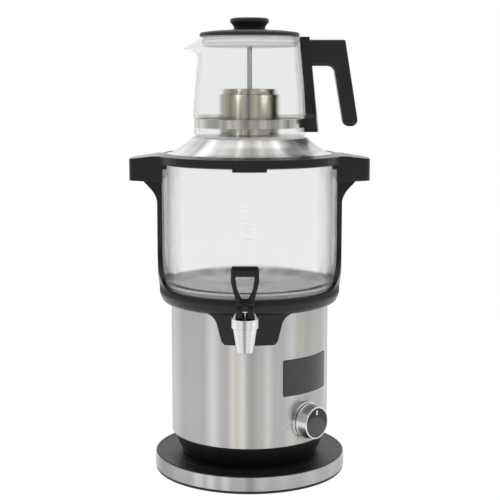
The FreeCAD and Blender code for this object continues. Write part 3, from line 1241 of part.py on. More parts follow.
# Lid
rod_hole = s.rod_radius + s.rod_gap
recess = s.skirt_radius + s.fit_gap
lid = turned("lid_form", [
    (rod_hole, lid_crown - 2), (s.lid_boss_radius, lid_crown - 2), (recess, lid_edge_top - 2.2),
    (recess, lid_bottom), (s.lid_radius, lid_bottom), (s.lid_radius, lid_edge_top - 1.6),
    (s.lid_radius - 1.6, lid_edge_top), (s.lid_boss_radius, lid_crown), (rod_hole, lid_crown)])
round_edges(lid, 0.8, circle_at(s.lid_radius, lid_bottom))
keep("lid_cover", lid)
keep("lid_skirt", turned("skirt", [
    (rod_hole + 0.1, skirt_bottom), (s.skirt_radius, skirt_bottom), (s.skirt_radius, lid_edge_top - 2.3),
    (s.skirt_radius - s.skirt_wall, lid_edge_top - 2.3), (s.skirt_radius - s.skirt_wall, skirt_bottom + s.skirt_wall),
    (rod_hole + 0.1, skirt_bottom + s.skirt_wall)]))
keep("lid_seal", compound_ring("lid_seal_form", s.lid_seal_radius + 0.4, s.lid_seal_radius + 0.35 - s.skirt_radius, 3,
                               skirt_bottom + 4))

# Infuser: lift knob, rod, cap and basket, which slide together through the lid
rod_foot = cap_top - s.basket_wall
keep("lift_rod", turned("rod", [
    (0, rod_foot - 2), (s.rod_radius + 2.5, rod_foot - 2), (s.rod_radius + 2.5, rod_foot), (s.rod_radius, rod_foot),
    (s.rod_radius, lift_knob_wide - 2), (0, lift_knob_wide - 2)]))
lift_knob = turned("lift_knob_form", [
    (rod_hole, lift_knob_bottom), (s.lift_knob_base_radius, lift_knob_bottom),
    (s.lift_knob_base_radius, lift_knob_bottom + 1.4), (s.lift_knob_radius, lift_knob_wide - 2),
    (s.lift_knob_radius, lift_knob_wide), (s.lift_knob_radius - 2, lift_knob_top - 0.5), (0, lift_knob_top),
    (0, lift_knob_wide - 1.9), (rod_hole, lift_knob_wide - 1.9)])
round_edges(lift_knob, 1.2, circle_at(s.lift_knob_radius, lift_knob_wide))
keep("lift_knob", lift_knob)
keep("basket_cap", turned("cap", [
    (rod_hole, rod_foot), (s.cap_radius - s.basket_wall, rod_foot), (s.cap_radius - s.basket_wall, basket_top),
    (s.cap_radius, basket_top), (s.cap_radius, cap_top), (rod_hole, cap_top)]))
basket_inner = s.basket_radius - s.basket_wall
basket = turned("basket_form", [
    (0, basket_bottom), (s.basket_radius, basket_bottom), (s.basket_radius, basket_top),
    (s.cap_radius - 2, basket_top), (s.cap_radius - 2, basket_top - s.basket_wall),
    (basket_inner, basket_top - s.basket_wall), (basket_inner, basket_bottom + s.basket_wall),
    (0, basket_bottom + s.basket_wall)])
rows = int(s.basket_hole_rows.value)
across = int(s.basket_holes_round.value / 2)
row_step = (basket_top - basket_bottom).value / (rows + 1)
drills = []
for row in range(rows):
    for i in range(across):
        angle = math.pi * (i + 0.5 * (row % 2)) / across
        along = Vector(math.cos(angle), math.sin(angle), 0)
        start = along * (-s.basket_radius.value - 2) + Vector(0, 0, basket_bottom.value + row_step * (row + 1))
        drills.append(Part.makeCylinder(s.basket_hole_radius.value, s.basket_radius.value * 2 + 4, start, along))
drill_set = doc.addObject("Part::Feature", "drill_set")
drill_set.Shape = Part.makeCompound(drills)
keep("tea_basket", cut("basket", basket, [drill_set]))

# Check every object, then write one file for each piece
doc.recompute()
for thing in doc.Objects:
    if "Invalid" in thing.State or "Error" in thing.State:
        raise RuntimeError("%s could not be built: %s" % (thing.Name, thing.State))
os.makedirs("parts", exist_ok=True)
for label, thing in nodes.items():
    shape = thing.Shape
    if shape.isNull() or not shape.isValid() or shape.Volume <= 0:
        raise RuntimeError("%s has no sound shape" % label)
    print("%-20s %d solid(s) %10.1f mm3" % (label, len(shape.Solids), shape.Volume))
for label, thing in nodes.items():
    thing.Shape.exportStep(os.path.join("parts", label + ".step"))
print("pieces:", len(nodes))
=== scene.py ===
"""Looks of a two-stage tea maker: glass vessel with a tap, steam cone and a lidded glass teapot."""

import json
import logging
import math
from dataclasses import dataclass
from enum import Enum
from typing import ClassVar, Sequence

import bmesh
import bpy
from mathutils import Matrix, Vector

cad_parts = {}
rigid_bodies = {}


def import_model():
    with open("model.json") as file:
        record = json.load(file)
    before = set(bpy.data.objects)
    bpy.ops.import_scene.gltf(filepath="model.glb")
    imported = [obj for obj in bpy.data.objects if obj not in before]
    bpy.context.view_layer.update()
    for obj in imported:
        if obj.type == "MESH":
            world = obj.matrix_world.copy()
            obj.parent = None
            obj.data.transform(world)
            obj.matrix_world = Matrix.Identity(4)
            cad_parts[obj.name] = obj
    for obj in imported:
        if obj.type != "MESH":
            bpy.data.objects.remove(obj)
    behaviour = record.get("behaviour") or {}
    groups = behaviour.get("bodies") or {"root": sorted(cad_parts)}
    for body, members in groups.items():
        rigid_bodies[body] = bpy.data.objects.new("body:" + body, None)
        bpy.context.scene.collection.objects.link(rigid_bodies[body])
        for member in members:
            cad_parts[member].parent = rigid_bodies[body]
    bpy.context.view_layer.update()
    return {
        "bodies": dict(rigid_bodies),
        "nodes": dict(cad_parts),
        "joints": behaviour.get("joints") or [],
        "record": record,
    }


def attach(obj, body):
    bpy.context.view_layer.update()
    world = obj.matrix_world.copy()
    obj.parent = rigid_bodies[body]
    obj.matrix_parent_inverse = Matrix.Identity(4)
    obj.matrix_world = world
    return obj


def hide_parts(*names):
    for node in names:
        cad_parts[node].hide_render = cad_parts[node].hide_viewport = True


LOG = logging.getLogger("tea_maker")
MM = 0.001
Colour = tuple[float, float, float]
Outline = Sequence[tuple[float, float]]
Bands = tuple[tuple[float, float, float], ...]
Loop = list[bmesh.types.BMVert]


# Shader building


class Wire:
    """A shader socket that takes part in sums, so that shader maths reads as an expression."""

    def __init__(self, bench: "ShaderBench", socket: bpy.types.NodeSocket) -> None:
        """Holds a socket.

        Args:
            bench: the bench that adds the nodes.
            socket: the output socket that carries the value.
        """
        self.bench = bench
        self.socket = socket

    def _sum(self, operation: str, *values: "Wire | float") -> "Wire":
        """Adds one Math node.

        Args:
            operation: the node's operation.
            values: its inputs, in order.

        Returns:
            The node's result.
        """
        node = self.bench.put("ShaderNodeMath", {"operation": operation}, dict(enumerate(values)))
        return Wire(self.bench, node.outputs[0])

    def __add__(self, other: "Wire | float") -> "Wire":
        """Returns self + other."""
        return self._sum("ADD", self, other)

    __radd__ = __add__

    def __sub__(self, other: "Wire | float") -> "Wire":
        """Returns self - other."""
        return self._sum("SUBTRACT", self, other)

    def __rsub__(self, other: float) -> "Wire":
        """Returns other - self."""
        return self._sum("SUBTRACT", other, self)

    def __mul__(self, other: "Wire | float") -> "Wire":
        """Returns self * other."""
        return self._sum("MULTIPLY", self, other)

    __rmul__ = __mul__

    def __truediv__(self, other: "Wire | float") -> "Wire":
        """Returns self / other."""
        return self._sum("DIVIDE", self, other)

    def __pow__(self, other: float) -> "Wire":
        """Returns self to the power of other."""
        return self._sum("POWER", self, other)

    def larger(self, other: "Wire | float") -> "Wire":
        """Returns the larger of the two values."""
        return self._sum("MAXIMUM", self, other)

    def size(self) -> "Wire":
        """Returns the value without its sign."""
        return self._sum("ABSOLUTE", self)

    def step(self, low: float, high: float) -> "Wire":
        """Rises smoothly from 0 at low to 1 at high.

        Args:
            low: the value where the rise starts.
            high: the value where it ends.

        Returns:
            The risen value.
        """
        settings = {"interpolation_type": "SMOOTHSTEP"}
        inputs = {"Value": self, "From Min": low, "From Max": high}
        return Wire(self.bench, self.bench.put("ShaderNodeMapRange", settings, inputs).outputs["Result"])

    def bump_at(self, middle: float, width: float) -> "Wire":
        """Gives a soft band.

        Args:
            middle: the value where the band is 1.
            width: how far from there it has faded to 0.

        Returns:
            The band, from 0 to 1.
        """
        return 1 - (self - middle).size().step(0.0, width)


class ShaderBench:
    """Builds the nodes of one material or world."""

    def __init__(self, tree: bpy.types.NodeTree) -> None:
        """Takes a node tree and empties it."""
        self.tree = tree
        tree.nodes.clear()

    def put(self, kind: str, settings: dict | None = None, inputs: dict | None = None) -> bpy.types.Node:
        """Adds one node.

        Args:
            kind: the node's type.
            settings: its settings, set first.
            inputs: its sockets by name or number, each a value or a Wire.

        Returns:
            The node.
        """
        node = self.tree.nodes.new(kind)
        for name, value in (settings or {}).items():
            setattr(node, name, value)
        for name, value in (inputs or {}).items():
            socket = node.inputs[name]
            if isinstance(value, Wire):
                self.tree.links.new(value.socket, socket)
            elif isinstance(value, tuple) and len(value) == 3 and socket.type == "RGBA":
                socket.default_value = (*value, 1.0)
            else:
                socket.default_value = value
        return node

    def place(self) -> tuple[Wire, Wire, Wire]:
        """Returns the point's X, Y and Z in the row frame, in metres."""
        where = self.put("ShaderNodeTexCoord")
        parts = self.put("ShaderNodeSeparateXYZ", None, {0: Wire(self, where.outputs["Object"])})
        return tuple(Wire(self, parts.outputs[n]) for n in range(3))

    def vector(self, x: Wire | float, y: Wire | float, z: Wire | float) -> Wire:
        """Joins three values into a vector."""
        node = self.put("ShaderNodeCombineXYZ", None, {0: x, 1: y, 2: z})
        return Wire(self, node.outputs[0])

    def angle(self, x: Wire, y: Wire) -> Wire:
        """Returns the angle round the upright axis, in radians from the front, to the right."""
        return x._sum("ARCTAN2", x, y * -1.0)

    def noise(self, where: Wire, scale: float, detail: float = 2.0, rough: float = 0.5) -> Wire:
        """Adds a noise.

        Args:
            where: the point it is read at.
            scale: its scale.
            detail: its number of finer layers.
            rough: how strong these are.

        Returns:
            A value from 0 to 1.
        """
        inputs = {"Vector": where, "Scale": scale, "Detail": detail, "Roughness": rough}
        return Wire(self, self.put("ShaderNodeTexNoise", None, inputs).outputs[0])

    def blend(self, share: Wire | float, low: Wire | Colour, high: Wire | Colour) -> Wire:
        """Mixes two colours.

        Args:
            share: how much of the second colour there is.
            low: the first colour.
            high: the second colour.

        Returns:
            The mixed colour.
        """
        node = self.put("ShaderNodeMix", {"data_type": "RGBA"}, {0: share, 6: low, 7: high})
        return Wire(self, node.outputs[2])

    def relief(self, height: Wire, depth: float, strength: float = 1.0, under: Wire | None = None) -> Wire:
        """Turns a height into a normal.

        Args:
            height: the height, from 0 to 1.
            depth: how deep it is, in metres.
            strength: how much of it shows.
            under: the normal it lies on, if not the face's own.

        Returns:
            The normal.
        """
        inputs = {"Height": height, "Distance": depth, "Strength": strength}
        if under is not None:
            inputs["Normal"] = under
        return Wire(self, self.put("ShaderNodeBump", None, inputs).outputs[0])

    def surface(self, inputs: dict) -> Wire:
        """Adds a Principled shader.

        Args:
            inputs: its sockets.

        Returns:
            The shader.
        """
        return Wire(self, self.put("ShaderNodeBsdfPrincipled", None, inputs).outputs[0])

    def clear(self, colour: Colour) -> Wire:
        """Returns a Transparent shader of one colour."""
        return Wire(self, self.put("ShaderNodeBsdfTransparent", None, {"Color": colour}).outputs[0])

    def merge(self, share: Wire | float, first: Wire, second: Wire) -> Wire:
        """Mixes two shaders.

        Args:
            share: how much of the second shader there is.
            first: the first shader.
            second: the second shader.

        Returns:
            The mixed shader.
        """
        return Wire(self, self.put("ShaderNodeMixShader", None, {0: share, 1: first, 2: second}).outputs[0])

    def ray(self, kind: str) -> Wire:
        """Returns 1 where the ray is of a kind, such as Camera or Shadow, and 0 elsewhere."""
        return Wire(self, self.put("ShaderNodeLightPath").outputs[f"Is {kind} Ray"])

    def end(self, shader: Wire) -> None:
        """Links the shader to the output."""
        kind = "ShaderNodeOutputWorld" if self.tree.nodes.get("Background") else "ShaderNodeOutputMaterial"
        self.put(kind, None, {"Surface": shader})


# Finishes


class Grain(Enum):
    """Which way the lines of a brushed metal run."""

    ROUND = "round the upright axis"
    SPUN = "rings on a turned face"
    NONE = "polished, with no lines"


def dimmed(colour: Colour, share: float) -> Colour:
    """Returns a share of a colour, with no channel over 1."""
    return tuple(min(1.0, share * channel) for channel in colour)


@dataclass(frozen=True)
class Finish:
    """A finish that makes one material."""

    name: str

    def material(self) -> bpy.types.Material:
        """Returns the material, made once."""
        known = bpy.data.materials.get("look_" + self.name)
        if known:
            return known
        made = bpy.data.materials.new("look_" + self.name)
        made.use_nodes = True
        bench = ShaderBench(made.node_tree)
        bench.end(self.shader(bench))
        return made

    def shader(self, bench: ShaderBench) -> Wire:
        """Builds the shader.

        Args:
            bench: the bench to build on.

        Returns:
            The finished shader.
        """
        raise NotImplementedError


@dataclass(frozen=True)
class MouldedPlastic(Finish):
    """Moulded plastic with a fine grain, faint flow marks and worn gloss.

    The softness is the radius that edges seem to have, and quiet is the middle and half width of a
    matt belt along Z, all in metres.
    """

    tone: Colour = (0.0115, 0.0115, 0.012)
    rough: float = 0.26
    grain: float = 0.00003
    specular: float = 0.42
    softness: float = 0.0011
    quiet: tuple[float, float] = (0.0, 0.001)

    def shader(self, bench: ShaderBench) -> Wire:
        """Builds the plastic; see Finish.shader."""
        x, y, z = bench.place()
        where = bench.vector(x, y, z)
        fine = bench.noise(where, 2600.0, 2.0)
        broad = bench.noise(where, 22.0, 3.0)
        tone = bench.blend(broad.step(0.25, 0.8), dimmed(self.tone, 0.86), dimmed(self.tone, 1.15))
        soft = bench.put("ShaderNodeBevel", {"samples": 4}, {"Radius": self.softness})
        normal = bench.relief(fine, self.grain, 1.0, Wire(bench, soft.outputs[0]))
        matt = z.bump_at(*self.quiet) * 0.4
        worn = (broad - 0.5) * 0.12 + (fine - 0.5) * 0.05 + self.rough + matt
        return bench.surface({"Base Color": tone, "Roughness": worn, "Specular IOR Level": self.specular,
                              "Normal": normal})


@dataclass(frozen=True)
class Steel(Finish):
    """Stainless steel, brushed or polished, with soft bands of light and shade.

    Each band is painted light or shade, and holds its middle and half width, in degrees from the front,
    and how much light it adds. Calm is the radius, in metres, inside which a turned face shows no bands,
    with the tone CALM_TONE. A beige tint lies on the painted highlights, strongest in its own listed
    bands, and faint painted reflections run round the axis.
    """

    CALM_TONE: ClassVar[float] = 0.55

    tone: Colour = (0.5, 0.5, 0.49)
    rough: float = 0.3
    grain: Grain = Grain.ROUND
    bands: Bands = ()
    # share of beige tint on the painted highlights
    reflection_warmth: float = 0.5
    spread: float = 0.0
    centre: tuple[float, float] = (0.0, 0.0)
    calm: float = 0.0
    # bands where the painted highlights are most beige: middle and half width in degrees
    warm_reflection_bands: tuple[tuple[float, float], ...] = ()

    def shader(self, bench: ShaderBench) -> Wire:
        """Builds the steel; see Finish.shader."""
        x, y, z = bench.place()
        x, y = x - self.centre[0], y - self.centre[1]
        turn = bench.angle(x, y)
        radius = (x * x + y * y) ** 0.5
        along = radius if self.grain is Grain.SPUN else z
        lines = bench.noise(bench.vector(turn * 1.2, along * 2400.0, 0.0), 1.0, 3.0, 0.65)
        coarse = bench.noise(bench.vector(turn * 0.6, along * 500.0, 3.0), 1.0, 2.0)
        # faint painted reflections that run round the axis
        reflection_streaks = bench.noise(bench.vector(turn * 5.0, 0.0, 1.0), 1.0, 2.0, 0.6)
        light = (reflection_streaks - 0.5) * 0.22 + 1.0
        # painted bands of highlight and shade
        for middle, width, gain in self.bands:
            light = light + turn.bump_at(math.radians(middle), math.radians(width)) * gain
        if self.calm:
            light = (light - self.CALM_TONE) * radius.step(self.calm, self.calm * 1.5) + self.CALM_TONE
        polished = self.grain is Grain.NONE
        light = light + (lines - 0.5) * (0.0 if polished else 0.10) + (coarse - 0.5) * 0.05
        # beige tint of the painted highlights, strongest in its listed bands
        warm_reflection = bench.noise(bench.vector(turn * 3.2, 0.0, 9.0), 1.0, 1.0).step(0.48, 0.72) * self.reflection_warmth
        if self.warm_reflection_bands:
            warm_reflection = warm_reflection * 0.15
            for middle, width in self.warm_reflection_bands:
                warm_reflection = warm_reflection + turn.bump_at(math.radians(middle), math.radians(width)) * self.reflection_warmth
        dark, (red, green, blue) = (0.0, 0.0, 0.0), self.tone
        cool = bench.blend(light / 2.0, dark, (2.0 * red, 2.0 * green, 2.0 * blue))
        glow = bench.blend(light / 2.0, dark, (2.12 * red, 2.0 * green, 1.78 * blue))
        shine = {"Base Color": bench.blend(warm_reflection, cool, glow), "Metallic": 1.0, "Anisotropic": self.spread,
                 "Roughness": (lines - 0.5) * (0.02 if polished else 0.12) + self.rough}
        if not polished:
            shine["Normal"] = bench.relief(lines, 0.00001, 0.6)
        return bench.surface(shine)


@dataclass(frozen=True)
class GlossWithPaintedReflection(Finish):
    """Gloss black with a painted reflection of a soft box over its lower part, as in a dark mirror.

    Edge, middle and foot are the height of the painted reflection's upper border, the X of its lowest
    point and the height where the painted reflection starts to fade, in metres.
    """

    dark: Colour = (0.004, 0.004, 0.004)
    pale: Colour = (0.06, 0.06, 0.062)
    edge: float = 0.0769
    middle: float = 0.071
    foot: float = 0.054

    def shader(self, bench: ShaderBench) -> Wire:
        """Builds the gloss; see Finish.shader."""
        x, _, z = bench.place()
        bow = (x - self.middle) * (x - self.middle) * 60.0
        share = (z + bow).step(self.edge - 0.0012, self.edge + 0.0012)
        fade = (z - self.foot).step(0.0, 0.03) * 0.25
        # painted reflection of a soft box: the pale lower tone, dimming upwards from the foot
        lower = bench.blend(fade, self.pale, dimmed(self.pale, 0.5))
        return bench.surface({"Base Color": bench.blend(share, lower, self.dark), "Roughness": 0.12,
                              "Specular IOR Level": 0.4})


@dataclass(frozen=True)
class ClearGlass(Finish):
    """Clear glass that lets the light through to what stands in it.

    Thin is the share of light that goes straight through, and through is what a shadow lets pass. Shade
    holds the distances from the middle between which painted shade darkens the sides, and how much. Foot
    holds the heights between which two pale rings of painted highlight lie on the glass. All sizes are
    in metres.
    """

    tone: Colour = (0.955, 0.96, 0.96)
    rough: float = 0.0
    through: float = 0.86
    shade: tuple[float, float, float] = (1.0, 1.0, 1.0)
    ior: float = 1.2
    thin: float = 0.6
    foot: tuple[float, float] = (0.0, 0.0)

    def shader(self, bench: ShaderBench) -> Wire:
        """Builds the glass; see Finish.shader."""
        x, y, z = bench.place()
        flow = bench.noise(bench.vector(x * 30.0, y * 30.0, z * 6.0), 1.0, 2.0)
        start, full, depth = self.shade
        # painted shade that darkens the glass towards its sides
        side = x.size().step(start, full) * depth
        dim = dimmed(self.tone, 0.45)
        tint = bench.blend(side, bench.blend(flow, dimmed(self.tone, 0.985), self.tone), dim)
        glass = bench.surface({"Base Color": tint, "Roughness": self.rough, "Transmission Weight": 1.0,
                               "IOR": self.ior})
        straight = bench.merge(side, bench.clear(dimmed(self.tone, 0.99)), bench.clear(dim))
        body = bench.merge(self.thin, glass, straight)
        # painted highlights: two pale rings along the glass's foot
        if self.foot[1]:
            body = self._foot_highlights(bench, z, flow, body)
        return bench.merge(bench.ray("Shadow"), body, bench.clear((self.through,) * 3))

    def _foot_highlights(self, bench: ShaderBench, z: Wire, flow: Wire, body: Wire) -> Wire:
        """Lays two pale rings of painted highlight along the foot over the glass.

        Args:
            bench: the bench to build on.
            z: the point's height.
            flow: the glass's slow noise.
            body: the glass's shader.

        Returns:
            The glass with its painted highlights.
        """
        low, high = self.foot
        # the two rings of painted highlight, one near each end of the foot
        highlight_rings = z.bump_at(low + 0.0018, 0.0012) * 0.6 + z.bump_at(high - 0.0022, 0.0012) * 0.5
        tone = bench.blend(highlight_rings + flow * 0.4, (0.42, 0.42, 0.42), (0.9, 0.9, 0.9))
        pale = bench.surface({"Base Color": tone, "Roughness": 0.25, "Coat Weight": 0.5})
        share = (1 - z.step(high - 0.003, high)) * (highlight_rings * 0.6 + 0.5)
        return bench.merge(share, body, pale)


@dataclass(frozen=True)
class FrostedPlastic(Finish):
    """Milky clear plastic."""

    tone: Colour = (0.9, 0.9, 0.91)
    rough: float = 0.35

    def shader(self, bench: ShaderBench) -> Wire:
        """Builds the plastic; see Finish.shader."""
        x, y, z = bench.place()
        cloud = bench.noise(bench.vector(x * 60.0, y * 60.0, z * 20.0), 1.0, 2.0)
        tint = bench.blend(cloud, dimmed(self.tone, 0.93), self.tone)
        return bench.surface({"Base Color": tint, "Roughness": self.rough, "Transmission Weight": 0.25,
                              "IOR": 1.4})


@dataclass(frozen=True)
class PlainFinish(Finish):
    """Rubber, brass, board and other small parts, with a mottled tone."""

    tone: Colour = (0.2, 0.2, 0.2)
    rough: float = 0.5
    metal: float = 0.0

    def shader(self, bench: ShaderBench) -> Wire:
        """Builds the finish; see Finish.shader."""
        x, y, z = bench.place()
        mottle = bench.noise(bench.vector(x, y, z), 180.0, 3.0)
        tone = bench.blend(mottle, dimmed(self.tone, 0.8), dimmed(self.tone, 1.12))
        return bench.surface({"Base Color": tone, "Roughness": (mottle - 0.5) * 0.15 + self.rough,
                              "Metallic": self.metal, "Normal": bench.relief(mottle, 0.00004)})


# Bands of painted light and shade round the steel pieces: middle and half width in degrees from
# the front, light added

SHELL_BANDS = ((-26.5, 8.0, 0.42), (-11.6, 5.0, 0.40), (-5.3, 5.0, 0.48), (2.0, 6.0, -0.18), (13.0, 5.5, 0.3),
               (30.6, 7.0, 0.26), (-70.0, 14.0, 0.25), (46.0, 8.0, -0.08), (72.0, 14.0, 0.25))
# Where the painted highlights on the shell turn beige: middle and half width in degrees
SHELL_WARM_REFLECTIONS = ((-10.5, 6.5), (40.0, 8.0))
HOOP_BANDS = ((-31.0, 6.0, 0.4), (-23.0, 4.5, 0.45), (-14.0, 4.0, 0.4), (8.0, 5.0, 0.12), (20.0, 7.0, 0.12),
              (38.0, 8.0, 0.15), (-62.0, 14.0, -0.28), (0.5, 4.5, -0.3), (60.0, 10.0, 0.1))
CONE_BANDS = ((-36.0, 7.0, 0.4), (-25.0, 4.0, -0.12), (-8.0, 5.0, 0.45), (9.0, 4.0, 0.3), (24.0, 7.0, 0.45),
              (2.0, 4.0, -0.15), (41.0, 4.0, -0.2), (50.0, 4.0, -0.22), (-46.0, 4.0, -0.3), (64.0, 9.0, 0.3),
              (-66.0, 10.0, 0.2))
STRAP_BANDS = ((-63.0, 3.0, -0.3), (-30.0, 3.0, 0.45), (-20.5, 4.0, 0.35), (-12.5, 4.5, 0.6),
               (-3.0, 5.0, -0.4), (13.5, 5.5, 0.6), (24.0, 4.0, -0.15), (33.5, 5.0, 0.35), (41.5, 3.5, -0.35),
               (60.0, 6.0, 0.2))
CUP_BANDS = ((-58.0, 8.0, 0.2), (-40.0, 8.0, -0.3), (-23.0, 6.0, 0.75), (-12.0, 4.0, 0.2), (-2.0, 5.0, -0.5),
             (11.0, 8.0, 0.35), (47.0, 8.0, -0.35), (62.0, 5.0, 0.25))
DISH_BANDS = ((166.0, 6.0, 1.5), (152.0, 5.0, 0.9), (-172.0, 5.0, 0.8), (-152.0, 7.0, 1.2), (128.0, 7.0, 1.0),
              (-128.0, 8.0, 0.9), (100.0, 14.0, -0.25), (-120.0, 14.0, 0.3), (-95.0, 12.0, -0.2),
              (-40.0, 14.0, -0.15), (10.0, 16.0, 0.15), (45.0, 12.0, -0.2))
# Where the painted highlights in the dish turn beige: middle and half width in degrees
DISH_WARM_REFLECTIONS = ((167.0, 9.0), (-163.0, 5.0))
TAP_BANDS = ((-2.0, 15.0, -0.6), (-52.0, 18.0, 0.2), (24.0, 8.0, -0.12), (40.0, 12.0, 0.15),
             (-80.0, 12.0, -0.5), (78.0, 16.0, -0.45))
TAP_AXIS = (-0.0046, -0.128)

# Black plastics

BLACK = MouldedPlastic("black_plastic", (0.0075, 0.0075, 0.008), 0.27, 0.00003, 0.36)
FRAME_BLACK = MouldedPlastic("frame_black", (0.007, 0.007, 0.0075), 0.27, 0.00003, 0.34, quiet=(0.208, 0.009))
BASE_BLACK = MouldedPlastic("base_black", (0.008, 0.008, 0.0085), 0.4, 0.00003, 0.3, 0.0004)
GRIP_BLACK = MouldedPlastic("grip_black", (0.0115, 0.0115, 0.012), 0.3, 0.00002, 0.42, 0.0018)
LEVER_BLACK = MouldedPlastic("lever_black", (0.0035, 0.0035, 0.004), 0.2, 0.00001, 0.3, 0.0005)
BLACK_SMOOTH = MouldedPlastic("smooth_black_plastic", (0.010, 0.010, 0.0105), 0.2, 0.00001, 0.45, 0.0004)
LID_BLACK = MouldedPlastic("lid_black", (0.017, 0.017, 0.018), 0.42, 0.00002, 0.35, 0.0006)
PANEL = MouldedPlastic("dark_panel", (0.026, 0.026, 0.027), 0.22, 0.000002, 0.5)
# the knob's face: gloss black with a painted reflection on its lower part
KNOB_GLOSS = GlossWithPaintedReflection("knob_gloss")

# Steel and chrome

SHELL_STEEL = Steel("shell_steel", (0.432, 0.43, 0.423), 0.33, Grain.ROUND, SHELL_BANDS, 0.7, 0.5,
                    warm_reflection_bands=SHELL_WARM_REFLECTIONS)
HOOP_STEEL = Steel("hoop_steel", (0.435, 0.434, 0.43), 0.3, Grain.ROUND, HOOP_BANDS, 0.2, 0.4)
CONE_STEEL = Steel("cone_steel", (0.66, 0.66, 0.65), 0.32, Grain.SPUN, CONE_BANDS, 0.5)
DISH_STEEL = Steel("dish_steel", (0.22, 0.217, 0.21), 0.24, Grain.SPUN, DISH_BANDS, 0.8, calm=0.021,
                   warm_reflection_bands=DISH_WARM_REFLECTIONS)
CUP_STEEL = Steel("cup_steel", (0.4, 0.38, 0.33), 0.2, Grain.ROUND, CUP_BANDS, 0.9)
STRAP_STEEL = Steel("strap_steel", (0.76, 0.75, 0.71), 0.2, Grain.ROUND, STRAP_BANDS, 0.7)
CHROME = Steel("chrome", (0.72, 0.72, 0.725), 0.09, Grain.NONE, reflection_warmth=0.0)
TAP_CHROME = Steel("tap_chrome", (0.66, 0.66, 0.67), 0.14, Grain.NONE, TAP_BANDS, 0.0, centre=TAP_AXIS)
ROD_STEEL = Steel("rod_steel", (0.42, 0.42, 0.42), 0.2, Grain.NONE, reflection_warmth=0.0)
KNOB_CHROME = Steel("knob_chrome", (0.8, 0.8, 0.81), 0.3, Grain.NONE, reflection_warmth=0.0)
PLAIN_STEEL = Steel("plain_steel", (0.5, 0.5, 0.5), 0.35, Grain.NONE, reflection_warmth=0.2)

# Glass, milky plastic, rubber, brass, board and print

# the vessel's glass, with painted side shade and painted highlights along its foot
GLASS = ClearGlass("clear_glass", (0.945, 0.947, 0.947), shade=(0.0865, 0.0925, 0.45), ior=1.07,
                   foot=(0.2085, 0.2165))
POT_GLASS = ClearGlass("pot_glass", (0.94, 0.942, 0.942), shade=(1.0, 1.1, 0.0), ior=1.06, thin=0.5)
FROST = FrostedPlastic("milky_plastic")
RUBBER = PlainFinish("silicone", (0.30, 0.30, 0.30), 0.55)
PALE_RUBBER = PlainFinish("pale_silicone", (0.72, 0.72, 0.72), 0.5)
BRASS = PlainFinish("brass", (0.62, 0.47, 0.2), 0.3, 1.0)
BOARD = PlainFinish("board", (0.03, 0.17, 0.07), 0.4)
INNER = PlainFinish("inner_plastic", (0.07, 0.07, 0.075), 0.5)
MARK = PlainFinish("white_mark", (0.8, 0.8, 0.78), 0.35)
FAINT = PlainFinish("faint_mark", (0.86, 0.86, 0.86), 0.5)
DOT = PlainFinish("dark_mark", (0.2, 0.2, 0.2), 0.4)


# Mesh building


@dataclass
class Turning:
    """A turned shape: an outline of radius and height pairs spun round an upright axis, in millimetres."""

    outline: Outline
    sides: int = 192
    closed: bool = True

    def mesh(self, name: str) -> bpy.types.Object:
        """Spins the outline.

        Args:
            name: the piece's name.

        Returns:
            The new object.
        """
        shape = bmesh.new()
        rings: list[Loop] = []
        for radius, height in self.outline:
            if radius < 1e-6:
                rings.append([shape.verts.new((0.0, 0.0, height * MM))])
                continue
            turns = [math.tau * n / self.sides for n in range(self.sides)]
            reach, level = radius * MM, height * MM
            rings.append([shape.verts.new((reach * math.sin(a), -reach * math.cos(a), level)) for a in turns])
        pairs = list(zip(rings, rings[1:]))
        if self.closed and len(rings[0]) > 1:
            pairs.append((rings[-1], rings[0]))
        for low, high in pairs:
            for n in range(self.sides):
                foot = [low[n % len(low)], low[(n + 1) % len(low)]]
                head = [high[(n + 1) % len(high)], high[n % len(high)]]
                corners = list(dict.fromkeys(foot + head))
                if len(corners) > 2:
                    shape.faces.new(corners)
        bmesh.ops.recalc_face_normals(shape, faces=shape.faces)
        return finish_mesh(shape, name)


@dataclass
class Slab:
    """A flat shape with soft edges: an outline drawn in X and Z, as thick along Y, sizes in millimetres."""

    outline: Outline
    front: float
    back: float
    edge: float = 1.0
    hole: Outline | None = None
    steps: int = 4

    def mesh(self, name: str) -> bpy.types.Object:
        """Builds the slab.

        Args:
            name: the piece's name.

        Returns:
            The new object.
        """
        shape = bmesh.new()
        outer = self._skin(shape, self.outline, 1.0)
        if self.hole is None:
            shape.faces.new(outer[0])
            shape.faces.new(outer[-1])
        else:
            inner = self._skin(shape, self.hole, -1.0)
            for one, two in ((outer[0], inner[0]), (outer[-1], inner[-1])):
                for n in range(len(one)):
                    shape.faces.new([one[n - 1], one[n], two[n], two[n - 1]])
        bmesh.ops.recalc_face_normals(shape, faces=shape.faces)
        return finish_mesh(shape, name)

    def _skin(self, shape: bmesh.types.BMesh, outline: Outline, side: float) -> list[Loop]:
        """Makes the wall that runs round an outline, with its soft edges.

        Args:
            shape: the bmesh to add to.
            outline: the outline, anticlockwise.
            side: 1 for the outside, -1 for a hole.

        Returns:
            The wall's loops, from front to back.
        """
        loops = []
        turns = [math.pi / 2 * n / self.steps for n in range(self.steps + 1)]
        levels = [(self.edge * (1 - math.sin(a)), self.front + self.edge * (1 - math.cos(a))) for a in turns]
        levels += [(inset, self.front + self.back - depth) for inset, depth in reversed(levels)]
        for inset, depth in levels:
            points = inward(outline, inset * side)
            loops.append([shape.verts.new((u * MM, depth * MM, v * MM)) for u, v in points])
        for low, high in zip(loops, loops[1:]):
            for n in range(len(low)):
                shape.faces.new([low[n - 1], low[n], high[n], high[n - 1]])
        return loops


